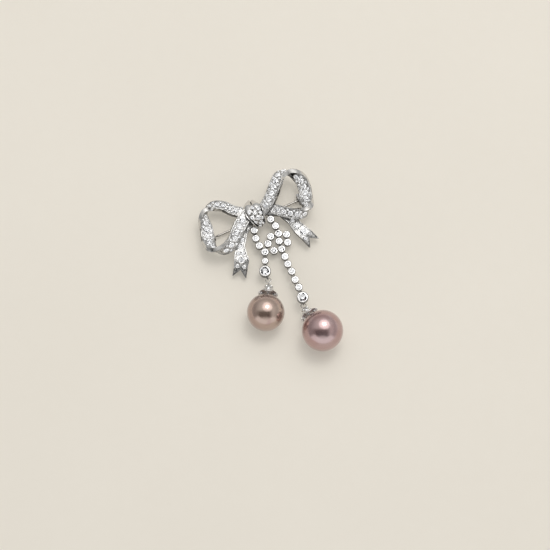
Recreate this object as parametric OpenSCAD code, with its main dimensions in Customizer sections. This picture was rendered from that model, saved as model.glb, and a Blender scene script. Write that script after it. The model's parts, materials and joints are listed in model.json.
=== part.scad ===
// Bow brooch: a bow of two ribbon loops with pave brilliants, two swallow-tailed
// ends, and two strands of collet-set stones that cross in an open knot and carry a pearl each.
// It lies on its back. x runs right, y runs up the brooch, z runs off the floor, in mm.

/* [Bow] */
// width of the ribbon at its widest
ribbon_width = 3.9; // [3.5:0.1:4.3]
// thickness of the ribbon at its rims
ribbon_thick = 1.45; // [1.45:0.05:1.8]
// width of the plain rim on each side of the stones
rim_width = 0.35; // [0.25:0.05:0.45]
// depth of the channel that holds the stones
channel_depth = 0.7; // [0.6:0.02:0.74]
// height of the ribbon's middle where the loops stand highest
ribbon_lift = 6.2; // [5.8:0.1:7.0]
// reach of the right loop sideways from the knot
right_loop_reach = 18; // [16:0.5:20]
// rise of the right loop above the knot
right_loop_rise = 13; // [12:0.5:15]
// reach of the left loop sideways from the knot
left_loop_reach = 18; // [16:0.5:20]
// fall of the left loop below the knot
left_loop_fall = 13; // [12:0.5:15]
// length of the left ribbon end, straight down from the knot
left_tail_length = 19.5; // [17:0.5:22]
// length of the right ribbon end, sideways from the knot
right_tail_length = 17.5; // [16:0.5:20]
// thickness of the ribbon ends
tail_thick = 1.25; // [1.2:0.05:1.5]
// depth of the notch cut in the ribbon ends
notch_depth = 2.2; // [1.2:0.1:3]
// height of the knot's middle line off the floor
knot_lift = 7.3; // [7:0.1:8]
// width of the knot across its wrap
knot_width = 5.4; // [5:0.1:5.8]
// how far the knot's wrap bulges up in its middle
knot_bulge = 0.9; // [0.5:0.1:1.3]

/* [Pave stones] */
// diameter of the main stones of the ribbons
main_stone = 1.75; // [1.4:0.05:1.9]
// diameter of the small stones between them
side_stone = 0.75; // [0.5:0.05:0.85]
// step from one main stone to the next
stone_step = 2.02; // [2.0:0.02:2.4]
// diameter of the ribbon ends' big stones
tail_stone = 2.0; // [1.6:0.05:2.1]
// diameter of the knot's stones
knot_stone = 1.45; // [1.1:0.05:1.5]

/* [Collet chain] */
// outer diameter of a chain collet
collet_outer = 2.3; // [2.1:0.02:2.34]
// height of a chain collet
collet_height = 1.4; // [1.3:0.05:1.6]
// diameter of a chain collet's stone
chain_stone = 1.7; // [1.4:0.05:1.72]
// outer diameter of the small collet above the left big one
small_outer = 2.1; // [2.0:0.05:2.3]
// diameter of its stone
small_stone_size = 1.45; // [1.2:0.05:1.5]
// outer diameter of the two big collets
big_outer = 3.5; // [3.2:0.05:3.7]
// diameter of their stones
big_stone_size = 2.7; // [2.3:0.05:2.75]
// height of the two big collets
big_height = 1.9; // [1.7:0.05:2.2]
// spread of the two strands sideways
chain_spread = 20; // [19.8:0.1:21]
// length of the strands from the knot to the right big collet
chain_length = 30; // [29.8:0.1:31.5]
// height the strands climb to at the pearl caps
chain_lift = 4; // [3.9:0.05:4.3]
// radius of a jump ring, to the middle of its wire
ring_radius = 0.63; // [0.6:0.01:0.68]
// radius of the rings at the big collets
big_ring_radius = 0.78; // [0.72:0.01:0.82]
// radius of the rings that hold the caps
cap_ring_radius = 0.8; // [0.7:0.02:0.9]
// wire radius of the jump rings
ring_wire = 0.12; // [0.1:0.01:0.14]
// radius of an eye, to the middle of its wire
eye_radius = 0.38; // [0.36:0.01:0.42]
// wire radius of the eyes
eye_wire = 0.13; // [0.11:0.01:0.14]

/* [Pearls and caps] */
// diameter of the left pearl
left_pearl_size = 11.3; // [10:0.1:12]
// diameter of the right pearl
right_pearl_size = 12.4; // [11:0.1:13.5]
// radius of a cap at the tips of its petals
cap_radius = 2.85; // [2.6:0.05:3.1]
// height of a cap's bell above its pearl
bell_height = 3.2; // [2.9:0.1:3.4]
// diameter of a petal's lower stone
petal_stone = 1.1; // [0.8:0.05:1.15]
// diameter of a petal's upper stone
upper_stone = 0.75; // [0.6:0.05:0.8]
// how far outside the left big collet its lower eye stands
left_eye_out = 0.3; // [0.2:0.05:0.4]
// how far inside the right big collet's edge its lower eye stands
right_eye_in = 0.2; // [0.1:0.05:0.3]
// how far beside its pearl the left cap's ring points
left_cap_aim = 5; // [4:0.5:6]
// how far beside its pearl the right cap's ring points
right_cap_aim = 4.4; // [3.5:0.5:5.5]
// radius of the peg in the pearl
peg_radius = 0.4; // [0.3:0.05:0.6]

/* [Pin] */
// height of the pin's axis off the floor
pin_height = 1.15; // [1.1:0.05:1.3]
// radius of the pin stem between its root and its slim end
stem_radius = 0.36; // [0.34:0.01:0.38]
// radius of the stem's stout root at the knuckle
root_radius = 0.54; // [0.54:0.01:0.56]
// radius of the stem's slim end, which lies in the catch
point_radius = 0.17; // [0.16:0.01:0.18]
// how far the stem's slim end reaches past the catch
point_reach = 2.8; // [2.2:0.1:3.4]
// radius of the hinge rivet
rivet_radius = 0.34; // [0.28:0.02:0.38]
// thickness of the stem's knuckle
knuckle_thick = 1.2; // [1.15:0.05:1.3]
// thickness of each hinge ear
ear_thick = 0.7; // [0.6:0.05:0.9]

/* [Clearances] */
// gap between loose pieces that don't move on each other
small_gap = 0.12; // [0.1:0.01:0.15]
// radial clearance of the knuckle's bore on the rivet
running_gap = 0.04; // [0.03:0.01:0.06]

/* [Hidden] */
$fn = 48;
// where the knot stands on the floor
knot_at = [-4.2, 14.85];
// a channel never closes quite flat, so that its corners stay apart
shallow = 0.06;
// a stone's shape as shares of its diameter
table_share = 0.56;
crown_share = 0.15;
pavilion_share = 0.33;
// the eyes hang this far below a collet's base, to the middle of the eye
eye_drop = 0.42;

// which node to draw

// A ribbon's table has one row for each place along its middle.
// across and rise are shares of the loop's reach and rise from the knot, lift a share of ribbon_lift,
// wide a share of ribbon_width, lean in degrees: 0 lies face up, 90 stands on edge, 180 lies face down.
// across, rise, lift, wide, lean
right_loop_table = [
  [0.050, -0.060, 0.84, 0.86,   0],
  [0.178,  0.150, 0.94, 0.96,  12],
  [0.265,  0.394, 0.98, 1.00,  22],
  [0.328,  0.643, 1.00, 1.00,  28],
  [0.403,  0.885, 0.97, 1.00,  46],
  [0.575,  0.965, 0.84, 1.00,  88],
  [0.742,  0.830, 0.71, 1.00, 140],
  [0.817,  0.602, 0.66, 1.00, 162],
  [0.842,  0.363, 0.66, 1.00, 165],
  [0.872,  0.134, 0.68, 0.95, 120],
  [0.792,  0.001, 0.69, 0.87,  60],
  [0.642, -0.023, 0.69, 0.85,  25],
  [0.458,  0.029, 0.66, 0.84,  15],
  [0.290,  0.093, 0.63, 0.82,   8],
  [0.120,  0.080, 0.60, 0.80,   0],
];
left_loop_table = [
  [ 0.000, -0.080, 0.84, 0.86,   0],
  [-0.167,  0.114, 0.94, 0.97,   8],
  [-0.267,  0.335, 0.98, 1.00,  15],
  [-0.337,  0.564, 1.00, 1.00,  20],
  [-0.408,  0.787, 0.97, 1.00,  40],
  [-0.558,  0.926, 0.84, 1.00,  75],
  [-0.733,  0.875, 0.73, 1.00, 125],
  [-0.808,  0.666, 0.68, 1.00, 160],
  [-0.833,  0.425, 0.66, 1.00, 165],
  [-0.875,  0.188, 0.68, 0.95, 135],
  [-0.858, -0.025, 0.69, 0.87,  90],
  [-0.725, -0.156, 0.69, 0.86,  35],
  [-0.550, -0.146, 0.68, 0.84,  20],
  [-0.383, -0.043, 0.65, 0.82,  12],
  [-0.190,  0.001, 0.62, 0.80,   0],
];
// The ribbon ends have straight stretches with creases at the rows.
// across and fall are shares of the end's own length.
left_tail_table = [
  [-0.020, -0.040, 0.58, 0.55, 0],
  [-0.190, -0.310, 0.54, 0.56, 0],
  [-0.245, -0.540, 0.55, 0.72, 0],
  [-0.236, -0.700, 0.58, 1.04, 0],
  [-0.224, -0.760, 0.57, 1.16, 0],
  [-0.236, -0.860, 0.38, 1.06, 0],
  [-0.258, -0.985, 0.20, 1.08, 0],
];
right_tail_table = [
  [0.200,  0.020, 0.52, 0.45, 0],
  [0.430,  0.020, 0.45, 0.55, 0],
  [0.620, -0.105, 0.37, 0.76, 0],
  [0.745, -0.275, 0.50, 0.94, 0],
  [0.865, -0.375, 0.46, 1.03, 0],
  [1.000, -0.500, 0.27, 1.03, 0],
];
// The knot's wrap, from upper left to lower right: x and y from the knot's place and lift in shares
// of knot_width, wide a share of knot_width.
knot_table = [
  [-0.317,  0.622, -0.735, 0.50, 0],
  [-0.278,  0.401, -0.403, 0.78, 0],
  [-0.194,  0.106, -0.095, 0.94, 0],
  [-0.056, -0.207,  0.000, 0.99, 0],
  [ 0.111, -0.463, -0.118, 0.82, 0],
  [ 0.250, -0.646, -0.403, 0.69, 0],
  [ 0.333, -0.750, -0.640, 0.46, 0],
];

// The collets: across and fall from the knot as shares of chain_spread and chain_length,
// lift of the eyes a share of chain_lift.
// name, across, fall, lift
collet_table = [
  ["a1",  -0.029, 0.180, 0.55],
  ["a2",  -0.005, 0.261, 0.46],
  ["a3",   0.047, 0.335, 0.38],
  ["a4",   0.132, 0.398, 0.28],
  ["s",    0.135, 0.493, 0.38],
  ["l",    0.135, 0.609, 0.50],
  ["b1",   0.220, 0.062, 0.53],
  ["b2",   0.293, 0.127, 0.40],
  ["b3",   0.336, 0.203, 0.28],
  ["b4",   0.459, 0.213, 0.28],
  ["b5",   0.475, 0.296, 0.28],
  ["b6",   0.347, 0.283, 0.28],
  ["c1",   0.218, 0.235, 0.28],
  ["c2",   0.178, 0.310, 0.28],
  ["c3",   0.268, 0.384, 0.28],
  ["b7",   0.387, 0.365, 0.28],
  ["b8",   0.435, 0.446, 0.31],
  ["b9",   0.478, 0.526, 0.38],
  ["b10",  0.537, 0.605, 0.45],
  ["b11",  0.588, 0.694, 0.54],
  ["b12",  0.642, 0.776, 0.62],
  ["r",    0.698, 0.887, 0.75],
];
// where the strands hang from the frame: across, fall and lift as above
eye_a_place = [-0.060, 0.113, 0.61];
eye_b_place = [ 0.170, 0.005, 0.62];
// where the pearls lie: across and fall as above
left_pearl_place = [0.147, 1.049];
right_pearl_place = [0.990, 1.238];
// which soldered collets of the chain's knot touch each other
solder_pairs = [
  ["a4", "c3"], ["c3", "b7"], ["a4", "c2"], ["c2", "c1"], ["c1", "b3"],
  ["b3", "b4"], ["b4", "b5"], ["b3", "b6"], ["b6", "b5"], ["b6", "b7"],
];
chain_knot_names = ["a4", "c1", "c2", "c3", "b3", "b4", "b5", "b6", "b7"];

// Small helpers for vectors
function unit(v) = v / norm(v);
function blend(a, b, t) = a + (b - a) * t;
function clamp01(t) = min(1, max(0, t));
function xyz(r) = [r[0], r[1], r[2]];

// Tables laid out in mm
function loop_rows(table, reach, rise) = [for (r = table)
  [knot_at[0] + r[0] * reach, knot_at[1] + r[1] * rise, r[2] * ribbon_lift, r[3] * ribbon_width, r[4]]];
right_loop_rows = loop_rows(right_loop_table, right_loop_reach, right_loop_rise);
left_loop_rows = loop_rows(left_loop_table, left_loop_reach, -left_loop_fall);
left_tail_rows = loop_rows(left_tail_table, left_tail_length, left_tail_length);
right_tail_rows = loop_rows(right_tail_table, right_tail_length, right_tail_length);
knot_rows = [for (r = knot_table)
  [knot_at[0] + r[0] * knot_width, knot_at[1] + r[1] * knot_width, knot_lift + r[2] * knot_width,
   r[3] * knot_width, r[4]]];

// A place on a table's line, at share s of its rows: a smooth curve, or straight between creases
function curve(a, b, c, d, t) =
  0.5 * (2 * b + (c - a) * t + (2 * a - 5 * b + 4 * c - d) * t * t + (3 * b - a - 3 * c + d) * t * t * t);
function row_at(rows, s, smooth) =
  let (last = len(rows) - 1, i = max(0, min(floor(s * last), last - 1)), t = s * last - i)
  smooth ? curve(i > 0 ? rows[i - 1] : 2 * rows[0] - rows[1], rows[i], rows[i + 1],
                 i < last - 1 ? rows[i + 2] : 2 * rows[last] - rows[last - 1], t)
         : blend(rows[i], rows[i + 1], t);
// The ribbon's own directions there: [middle, along its width, off its face, half width, lean, forward]
function ribbon_at(rows, s, smooth) =
  let (r = row_at(rows, s, smooth),
       run = unit(xyz(row_at(rows, min(1, s + 0.01), smooth)) - xyz(row_at(rows, max(0, s - 0.01), smooth))),
       side = unit([run[1], -run[0], 0]), up = cross(side, run),
       wide = cos(r[4]) * side + sin(r[4]) * up)
  [xyz(r), wide, cross(wide, run), r[3] / 2, r[4], run];
function on_ribbon(f, a, b) = f[0] + f[1] * a + f[2] * b;
// lengths along the line, for lookup()
function steps_of(rows, smooth) = [for (i = [0:80]) xyz(row_at(rows, i / 80, smooth))];
function length_table(rows, smooth) =
  let (p = steps_of(rows, smooth))
  [for (i = 0, d = 0; i <= 80; d = d + (i < 80 ? norm(p[i + 1] - p[i]) : 0), i = i + 1) [d, i / 80]];
function line_length(rows, smooth) = length_table(rows, smooth)[80][0];

// The channel is deep on the face that shows and fades where the ribbon turns over
function front_depth(lean) = blend(shallow, channel_depth, clamp01((100 - lean) / 22));
function back_depth(lean) = blend(shallow, channel_depth, clamp01((lean - 88) / 22));
// The ribbon's section, twelve corners round: rims and channels on both faces
function band_ring(f, thick, front, back) =
  let (h = f[3], e = h - rim_width, t = thick / 2)
  [for (q = [[-h, -t], [-h, t], [-e, t], [-e, t - front], [e, t - front], [e, t],
             [h, t], [h, -t], [e, -t], [e, back - t], [-e, back - t], [-e, -t]])
    on_ribbon(f, q[0], q[1])];
// the two ends of a section of twelve corners, in triangles
band_cap = [[0, 1, 2], [0, 2, 3], [0, 3, 10], [0, 10, 11], [3, 4, 9], [3, 9, 10],
            [6, 7, 8], [6, 8, 9], [6, 9, 4], [6, 4, 5]];
function side_faces(count, corners) = [for (i = [0:count - 2], j = [0:corners - 1])
  let (a = i * corners + j, b = i * corners + (j + 1) % corners)
  each [[a, a + corners, b + corners], [a, b + corners, b]]];
function cap_faces(cap, count, corners) = concat(
  cap, [for (t = cap) [for (k = [2, 1, 0]) t[k] + (count - 1) * corners]]);

module ribbon(rows, steps, thick, smooth, both_faces) {
  rings = [for (i = [0:steps])
    let (f = ribbon_at(rows, i / steps, smooth))
    band_ring(f, thick, both_faces ? front_depth(f[4]) : channel_depth - 0.15,
              both_faces ? back_depth(f[4]) : shallow)];
  polyhedron(points = [for (r = rings) each r],
             faces = concat(side_faces(steps + 1, 12), cap_faces(band_cap, steps + 1, 12)));
}

// A cut stone: table, crown of sixteen facets, eight pavilion facets
module brilliant(at, wide, run, off, size, depth) {
  r = size / 2;
  girdle = [for (k = [0:7]) at + r * (cos(45 * k) * wide + sin(45 * k) * run)];
  table = [for (k = [0:7]) at + off * size * crown_share
    + r * table_share * (cos(45 * k + 22.5) * wide + sin(45 * k + 22.5) * run)];
  polyhedron(points = concat(girdle, table, [at - off * depth]),
    faces = concat(
      [for (k = [0:7]) each [[k, 8 + k, (k + 1) % 8], [8 + k, 8 + (k + 1) % 8, (k + 1) % 8],
                             [k, (k + 1) % 8, 16]]],
      [[for (k = [7:-1:0]) 8 + k]]));
}

// One stone on a ribbon, at length d, offset a across, on the front (1) or back (-1) face
module ribbon_stone(rows, smooth, lengths, d, a, face, size, thick, room) {
  f = ribbon_at(rows, lookup(d, lengths), smooth);
  brilliant(on_ribbon(f, a, face * thick / 2), f[1], face * f[5], face * f[2], size,
            min(size * pavilion_share, room - small_gap));
}

// A row of main stones with a pair of small ones in each space, from share a to share b of the length.
// Stones shrink with the ribbon where it narrows.
module stone_run(rows, smooth, from, to, face, thick, room) {
  lengths = length_table(rows, smooth);
  all = lengths[80][0];
  span = (to - from) * all;
  count = floor(span / stone_step);
  for (i = [0:count]) {
    d = from * all + (span - count * stone_step) / 2 + i * stone_step;
    share = ribbon_at(rows, lookup(d, lengths), smooth)[3] * 2 / ribbon_width;
    ribbon_stone(rows, smooth, lengths, d, 0, face, main_stone * share, thick, room);
    if (i < count) {
      half = ribbon_at(rows, lookup(d + stone_step / 2, lengths), smooth)[3];
      small = side_stone * half * 2 / ribbon_width;
      edge = half - rim_width - small_gap - small / 2;
      for (side = [-1, 1])
        ribbon_stone(rows, smooth, lengths, d + stone_step / 2, side * edge, face, small, thick, room);
    }
  }
}

// The knot: a bulging wrap with raised rims round its stones
knot_sections = 14;
function knot_ring(f) =
  let (h = f[3], e = h - rim_width)
  concat([[-h, -1.3], [-h, 0.0], [-e, 0.0]],
         [for (k = [-4:4]) [k / 4 * (e - 0.02), -0.62 + knot_bulge * (1 - k * k / 16)]],
         [[e, 0.0], [h, 0.0], [h, -1.3]]);
function knot_face(f, a) = let (e = f[3] - rim_width) knot_bulge * (1 - a * a / (e * e));
module knot_wrap() {
  frames = [for (i = [0:knot_sections]) ribbon_at(knot_rows, i / knot_sections, true)];
  corners = 15;
  cap = concat([for (k = [1:6]) [0, k, k + 1]], [[0, 7, 14]], [for (k = [7:12]) [14, k, k + 1]]);
  rings = [for (f = frames) [for (q = knot_ring(f)) on_ribbon(f, q[0], q[1])]];
  polyhedron(points = [for (r = rings) each r],
             faces = concat(side_faces(knot_sections + 1, corners),
                            cap_faces(cap, knot_sections + 1, corners)));
}

// The knot's stones: share along the wrap, share across (1 is out against the rim), share of knot_stone
knot_stone_table = [
  [0.420, 0, 0.9], [0.545, 0, 1], [0.670, 0, 1], [0.795, 0, 0.8],
  [0.480, 1, 1], [0.610, 1, 0.8], [0.740, 1, 0.6],
  [0.480, -1, 1], [0.610, -1, 0.8], [0.740, -1, 0.6],
  [0.885, 0.6, 0.5], [0.885, -0.6, 0.5],
];
module knot_stones() color([0.93, 0.95, 0.97]) {
  lengths = length_table(knot_rows, true);
  for (q = knot_stone_table) {
    f = ribbon_at(knot_rows, lookup(q[0] * lengths[80][0], lengths), true);
    e = f[3] - rim_width;
    size = knot_stone * q[2];
    a = q[1] * (e - size / 2 - small_gap);
    off = unit(f[2] + f[1] * (2 * knot_bulge * a / (e * e)));
    brilliant(on_ribbon(f, a, knot_face(f, a)), unit(cross(f[5], off)), f[5], off, size,
              min(size * pavilion_share, 0.62 - small_gap));
  }
}

// Ribbon stones
module right_loop_stones() color([0.93, 0.95, 0.97]) {
  stone_run(right_loop_rows, true, 0.055, 0.36, 1, ribbon_thick, channel_depth);
  stone_run(right_loop_rows, true, 0.432, 0.672, -1, ribbon_thick, channel_depth);
  stone_run(right_loop_rows, true, 0.715, 0.955, 1, ribbon_thick, channel_depth);
}
module left_loop_stones() color([0.93, 0.95, 0.97]) {
  stone_run(left_loop_rows, true, 0.118, 0.37, 1, ribbon_thick, channel_depth);
  stone_run(left_loop_rows, true, 0.44, 0.688, -1, ribbon_thick, channel_depth);
  stone_run(left_loop_rows, true, 0.745, 0.955, 1, ribbon_thick, channel_depth);
}
// share along, share across, share of tail_stone
left_tail_stone_table = [
  [0.434, 0, 0.70], [0.538, 0, 0.85], [0.651, -0.9, 0.62], [0.651, 0.9, 0.62], [0.750, 0, 0.95],
  [0.840, -1, 0.6], [0.840, 1, 0.6],
];
right_tail_stone_table = [
  [0.47, 0, 0.6], [0.60, 0, 0.95], [0.75, 0, 1.0], [0.84, -1, 0.5], [0.84, 1, 0.5],
];
module tail_stones(rows, table) {
  lengths = length_table(rows, false);
  for (q = table) {
    d = q[0] * lengths[80][0];
    f = ribbon_at(rows, lookup(d, lengths), false);
    size = tail_stone * q[2];
    a = q[1] * (f[3] - rim_width - small_gap - size / 2);
    ribbon_stone(rows, false, lengths, d, a, 1, size, tail_thick, channel_depth - 0.15);
  }
}
module left_tail_stones() color([0.93, 0.95, 0.97]) tail_stones(left_tail_rows, left_tail_stone_table);
module right_tail_stones() color([0.93, 0.95, 0.97]) tail_stones(right_tail_rows, right_tail_stone_table);

// Places on the chain
function chain_at(across, fall, lift) =
  [knot_at[0] + across * chain_spread, knot_at[1] - fall * chain_length, lift * chain_lift];
function collet_row(name) = collet_table[search([name], collet_table)[0]];
function place(name) = let (r = collet_row(name)) chain_at(r[1], r[2], r[3]);
function eye_place(row) = chain_at(row[0], row[1], row[2]);
function link_radius(a, b) = a == "l" || b == "l" || a == "r" || b == "r" ? big_ring_radius : ring_radius;
// the two eye centres of the link from collet a to collet b
function link_eyes(a, b) =
  let (p = place(a), q = place(b), u = unit(q - p), k = norm(q - p) / 2 - link_radius(a, b))
  [p + u * k, q - u * k];
// the eye centre on a collet that hangs from a fixed eye
function hung_eye(fixed, q) = fixed + unit(q - fixed) * 2 * ring_radius;
// a cap's ring: the eye just outside the big collet, and the eye of the cap, both towards one aim
// the left one climbs towards it, the right one stands under its collet
function cap_eye_low(name, aim) = let (p = place(name), u = unit(aim - p))
  name == "l" ? p + u * (big_outer / 2 + left_eye_out)
              : p + unit([u[0], u[1], 0]) * (big_outer / 2 - right_eye_in);
function cap_eye_high(name, aim) =
  let (low = cap_eye_low(name, aim)) low + unit(aim - low) * 2 * cap_ring_radius;
function pearl_at(row, size) =
  [knot_at[0] + row[0] * chain_spread, knot_at[1] - row[1] * chain_length, size / 2];
left_pearl_centre = pearl_at(left_pearl_place, left_pearl_size);
right_pearl_centre = pearl_at(right_pearl_place, right_pearl_size);
left_aim = left_pearl_centre + [left_cap_aim, 0, 0];
right_aim = right_pearl_centre - [right_cap_aim, 0, 0];
frame_eye_a = eye_place(eye_a_place);
frame_eye_b = eye_place(eye_b_place);

function heading(u) = atan2(u[1], u[0]);
function climb(u) = asin(u[2] / norm(u));

// An upright eye in the plane of the chain, with a stalk up to height top
module eye(at, towards, top) {
  translate(at) rotate([90, 0, heading(towards - at)])
    rotate_extrude() translate([eye_radius, 0]) circle(r = eye_wire, $fn = 24);
  stalk = top - at[2] - eye_radius;
  if (stalk > 0.05)
    translate([at[0], at[1], at[2] + eye_radius]) cylinder(r = 0.17, h = stalk);
}
module jump_ring(p, q, r) color([0.80, 0.81, 0.83])
  translate((p + q) / 2) rotate([0, -climb(q - p), heading(q - p)])
    rotate_extrude() translate([r, 0]) circle(r = ring_wire, $fn = 24);

// A collet: bevelled rim, seat for the girdle, cone for the pavilion, open back
girdle_drop = 0.26;
module collet_cup(outer, height, stone) {
  seat = stone / 2 + small_gap;
  bore = 0.24 * outer;
  seat_z = height - girdle_drop - 0.08;
  bore_z = seat_z - (seat - bore) * 2 * pavilion_share;
  bevel = min(0.1, (outer / 2 - seat) * 0.6);
  rotate_extrude() polygon([[bore, 0], [outer / 2 - 0.12, 0], [outer / 2, 0.12], [outer / 2, height - bevel],
    [outer / 2 - bevel, height], [seat, height], [seat, seat_z], [bore, bore_z]]);
}
module collet_stone(name, height, stone)
  brilliant(place(name) + [0, 0, eye_drop + height - girdle_drop], [1, 0, 0], [0, 1, 0], [0, 0, 1],
            stone, stone * pavilion_share);
module collet_at(name, outer, height, stone)
  translate(place(name) + [0, 0, eye_drop]) collet_cup(outer, height, stone);
// the eye of one collet for its link to another
module link_eye(name, other) {
  eye(link_eyes(name, other)[0], place(other), place(name)[2] + eye_drop + 0.15);
}
module chain_collet(name, others) color([0.80, 0.81, 0.83]) {
  collet_at(name, collet_outer, collet_height, chain_stone);
  for (other = others) link_eye(name, other);
}
module collet_a1() color([0.80, 0.81, 0.83]) {
  chain_collet("a1", ["a2"]);
  eye(hung_eye(frame_eye_a, place("a1")), place("a1"), place("a1")[2] + eye_drop + 0.15);
}
module collet_a2() chain_collet("a2", ["a1", "a3"]);
module collet_a3() chain_collet("a3", ["a2", "a4"]);
module collet_b1() color([0.80, 0.81, 0.83]) {
  chain_collet("b1", ["b2"]);
  eye(hung_eye(frame_eye_b, place("b1")), place("b1"), place("b1")[2] + eye_drop + 0.15);
}
module collet_b2() chain_collet("b2", ["b1", "b3"]);
module collet_b8() chain_collet("b8", ["b7", "b9"]);
module collet_b9() chain_collet("b9", ["b8", "b10"]);
module collet_b10() chain_collet("b10", ["b9", "b11"]);
module collet_b11() chain_collet("b11", ["b10", "b12"]);
module collet_b12() chain_collet("b12", ["b11", "r"]);
module small_collet() color([0.80, 0.81, 0.83]) {
  collet_at("s", small_outer, collet_height - 0.1, small_stone_size);
  link_eye("s", "a4");
  link_eye("s", "l");
}
module big_collet(name, other, aim) color([0.80, 0.81, 0.83]) {
  collet_at(name, big_outer, big_height, big_stone_size);
  link_eye(name, other);
  eye(cap_eye_low(name, aim), aim, place(name)[2] + eye_drop + 0.2);
}
module left_big_collet() big_collet("l", "s", left_aim);
module right_big_collet() big_collet("r", "b12", right_aim);

// The open knot of the chain: nine collets and the bars soldered between them
module chain_knot() color([0.80, 0.81, 0.83]) {
  for (name = chain_knot_names) collet_at(name, collet_outer, collet_height, chain_stone);
  for (pair = solder_pairs) {
    p = place(pair[0]);
    run = place(pair[1]) - p;
    gap = 0.36 * collet_outer;
    translate(p + unit(run) * gap + [0, 0, eye_drop + 0.5]) rotate([0, 90, heading(run)])
      cylinder(r = 0.27, h = norm(run) - 2 * gap);
  }
  link_eye("a4", "a3");
  link_eye("a4", "s");
  link_eye("b3", "b2");
  link_eye("b7", "b8");
}
module chain_knot_stones() color([0.93, 0.95, 0.97])
  for (name = chain_knot_names) collet_stone(name, collet_height, chain_stone);
module strand_a_stones() color([0.93, 0.95, 0.97])
  for (name = ["a1", "a2", "a3"]) collet_stone(name, collet_height, chain_stone);
module strand_b_stones() color([0.93, 0.95, 0.97])
  for (name = ["b1", "b2", "b8", "b9", "b10", "b11", "b12"]) collet_stone(name, collet_height, chain_stone);
module small_stone() color([0.93, 0.95, 0.97]) collet_stone("s", collet_height - 0.1, small_stone_size);
module left_big_stone() color([0.93, 0.95, 0.97]) collet_stone("l", big_height, big_stone_size);
module right_big_stone() color([0.93, 0.95, 0.97]) collet_stone("r", big_height, big_stone_size);

module link_ring(a, b) {
  eyes = link_eyes(a, b);
  jump_ring(eyes[0], eyes[1], link_radius(a, b));
}
module hung_ring(fixed, name) jump_ring(fixed, hung_eye(fixed, place(name)), ring_radius);
module cap_ring(name, aim)
  jump_ring(cap_eye_low(name, aim), cap_eye_high(name, aim), cap_ring_radius);
module ring_a1() hung_ring(frame_eye_a, "a1");
module ring_a2() link_ring("a1", "a2");
module ring_a3() link_ring("a2", "a3");
module ring_a4() link_ring("a3", "a4");
module ring_small() link_ring("a4", "s");
module ring_left_big() link_ring("s", "l");
module ring_left_cap() cap_ring("l", left_aim);
module ring_b1() hung_ring(frame_eye_b, "b1");
module ring_b2() link_ring("b1", "b2");
module ring_b3() link_ring("b2", "b3");
module ring_b8() link_ring("b7", "b8");
module ring_b9() link_ring("b8", "b9");
module ring_b10() link_ring("b9", "b10");
module ring_b11() link_ring("b10", "b11");
module ring_b12() link_ring("b11", "b12");
module ring_right_big() link_ring("b12", "r");
module ring_right_cap() cap_ring("r", right_aim);

// Caps: turned about the line from the pearl's centre to the cap's eye, one petal face up
peg_depth = 3.2;
// the bell's outline: out as a share of cap_radius, up from the pearl as a share of bell_height
bell_table = [[0.96, 0.10], [1.00, 0.19], [0.92, 0.29], [0.66, 0.45], [0.47, 0.70], [0.36, 1.00]];
// the two stones of a petal: out and up as above, tilt in degrees
petal_table = [[0.78, 0.370, 36], [0.53, 0.660, 60]];
// a bell stops short of its cap's eye
function cap_bell(name, centre, aim, r) = min(bell_height, norm(cap_eye_high(name, aim) - centre) - r - 0.62);
module cap_frame(centre, far) {
  u = far - centre;
  translate(centre) rotate([0, 90 - climb(u), heading(u)]) children();
}
module petal_place(k, r, bell, row) rotate([0, 0, 90 * k])
  translate([row[0] * cap_radius, 0, r + row[1] * bell]) rotate([0, row[2], 0]) children();
module pearl_cap(name, centre, aim, size) color([0.80, 0.81, 0.83]) {
  far = cap_eye_high(name, aim);
  tall = norm(far - centre);
  r = size / 2;
  cr = cap_radius;
  neck = tall - eye_radius - 0.02;
  bell = cap_bell(name, centre, aim, r);
  cap_frame(centre, far) {
    difference() {
      rotate_extrude() polygon(concat([[0, r - 0.6], [0.40 * cr, r - 0.6], [0.42 * cr, r + 0.3]],
        [for (q = bell_table) [q[0] * cr, r + q[1] * bell]], [[0.3, neck], [0, neck]]));
      sphere(r = r + small_gap);
      for (k = [0:3]) rotate([0, 0, 45 + 90 * k]) translate([0.3, 0, r - 0.1]) rotate([0, 90, 0])
        cylinder(r = 0.44 * cr, h = 2 * cr);
      for (k = [0:3]) {
        petal_place(k, r, bell, petal_table[0]) cylinder(r = petal_stone / 2 + small_gap, h = 4, center = true);
        petal_place(k, r, bell, petal_table[1])
          translate([0, 0, -0.5]) cylinder(r = upper_stone / 2 + small_gap, h = 2);
      }
    }
    translate([0, 0, r - peg_depth]) cylinder(r = peg_radius, h = peg_depth + 0.4);
    translate([0, 0, tall]) rotate([90, 0, 0])
      rotate_extrude() translate([eye_radius, 0]) circle(r = eye_wire, $fn = 24);
  }
}
module left_cap() pearl_cap("l", left_pearl_centre, left_aim, left_pearl_size);
module right_cap() pearl_cap("r", right_pearl_centre, right_aim, right_pearl_size);
module cap_stones(name, centre, aim, size) color([0.93, 0.95, 0.97])
  cap_frame(centre, cap_eye_high(name, aim))
    for (k = [0:3], q = [[0, petal_stone], [1, upper_stone]])
      petal_place(k, size / 2, cap_bell(name, centre, aim, size / 2), petal_table[q[0]])
        brilliant([0, 0, 0], [1, 0, 0], [0, 1, 0], [0, 0, 1], q[1], min(q[1] * pavilion_share, 0.36));
module left_cap_stones() cap_stones("l", left_pearl_centre, left_aim, left_pearl_size);
module right_cap_stones() cap_stones("r", right_pearl_centre, right_aim, right_pearl_size);
module pearl(name, centre, aim, size) cap_frame(centre, cap_eye_high(name, aim)) difference() {
  sphere(r = size / 2);
  translate([0, 0, size / 2 - peg_depth - small_gap]) cylinder(r = peg_radius + small_gap, h = peg_depth + 1);
}
module left_pearl() color([0.74, 0.60, 0.50]) pearl("l", left_pearl_centre, left_aim, left_pearl_size);
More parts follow.
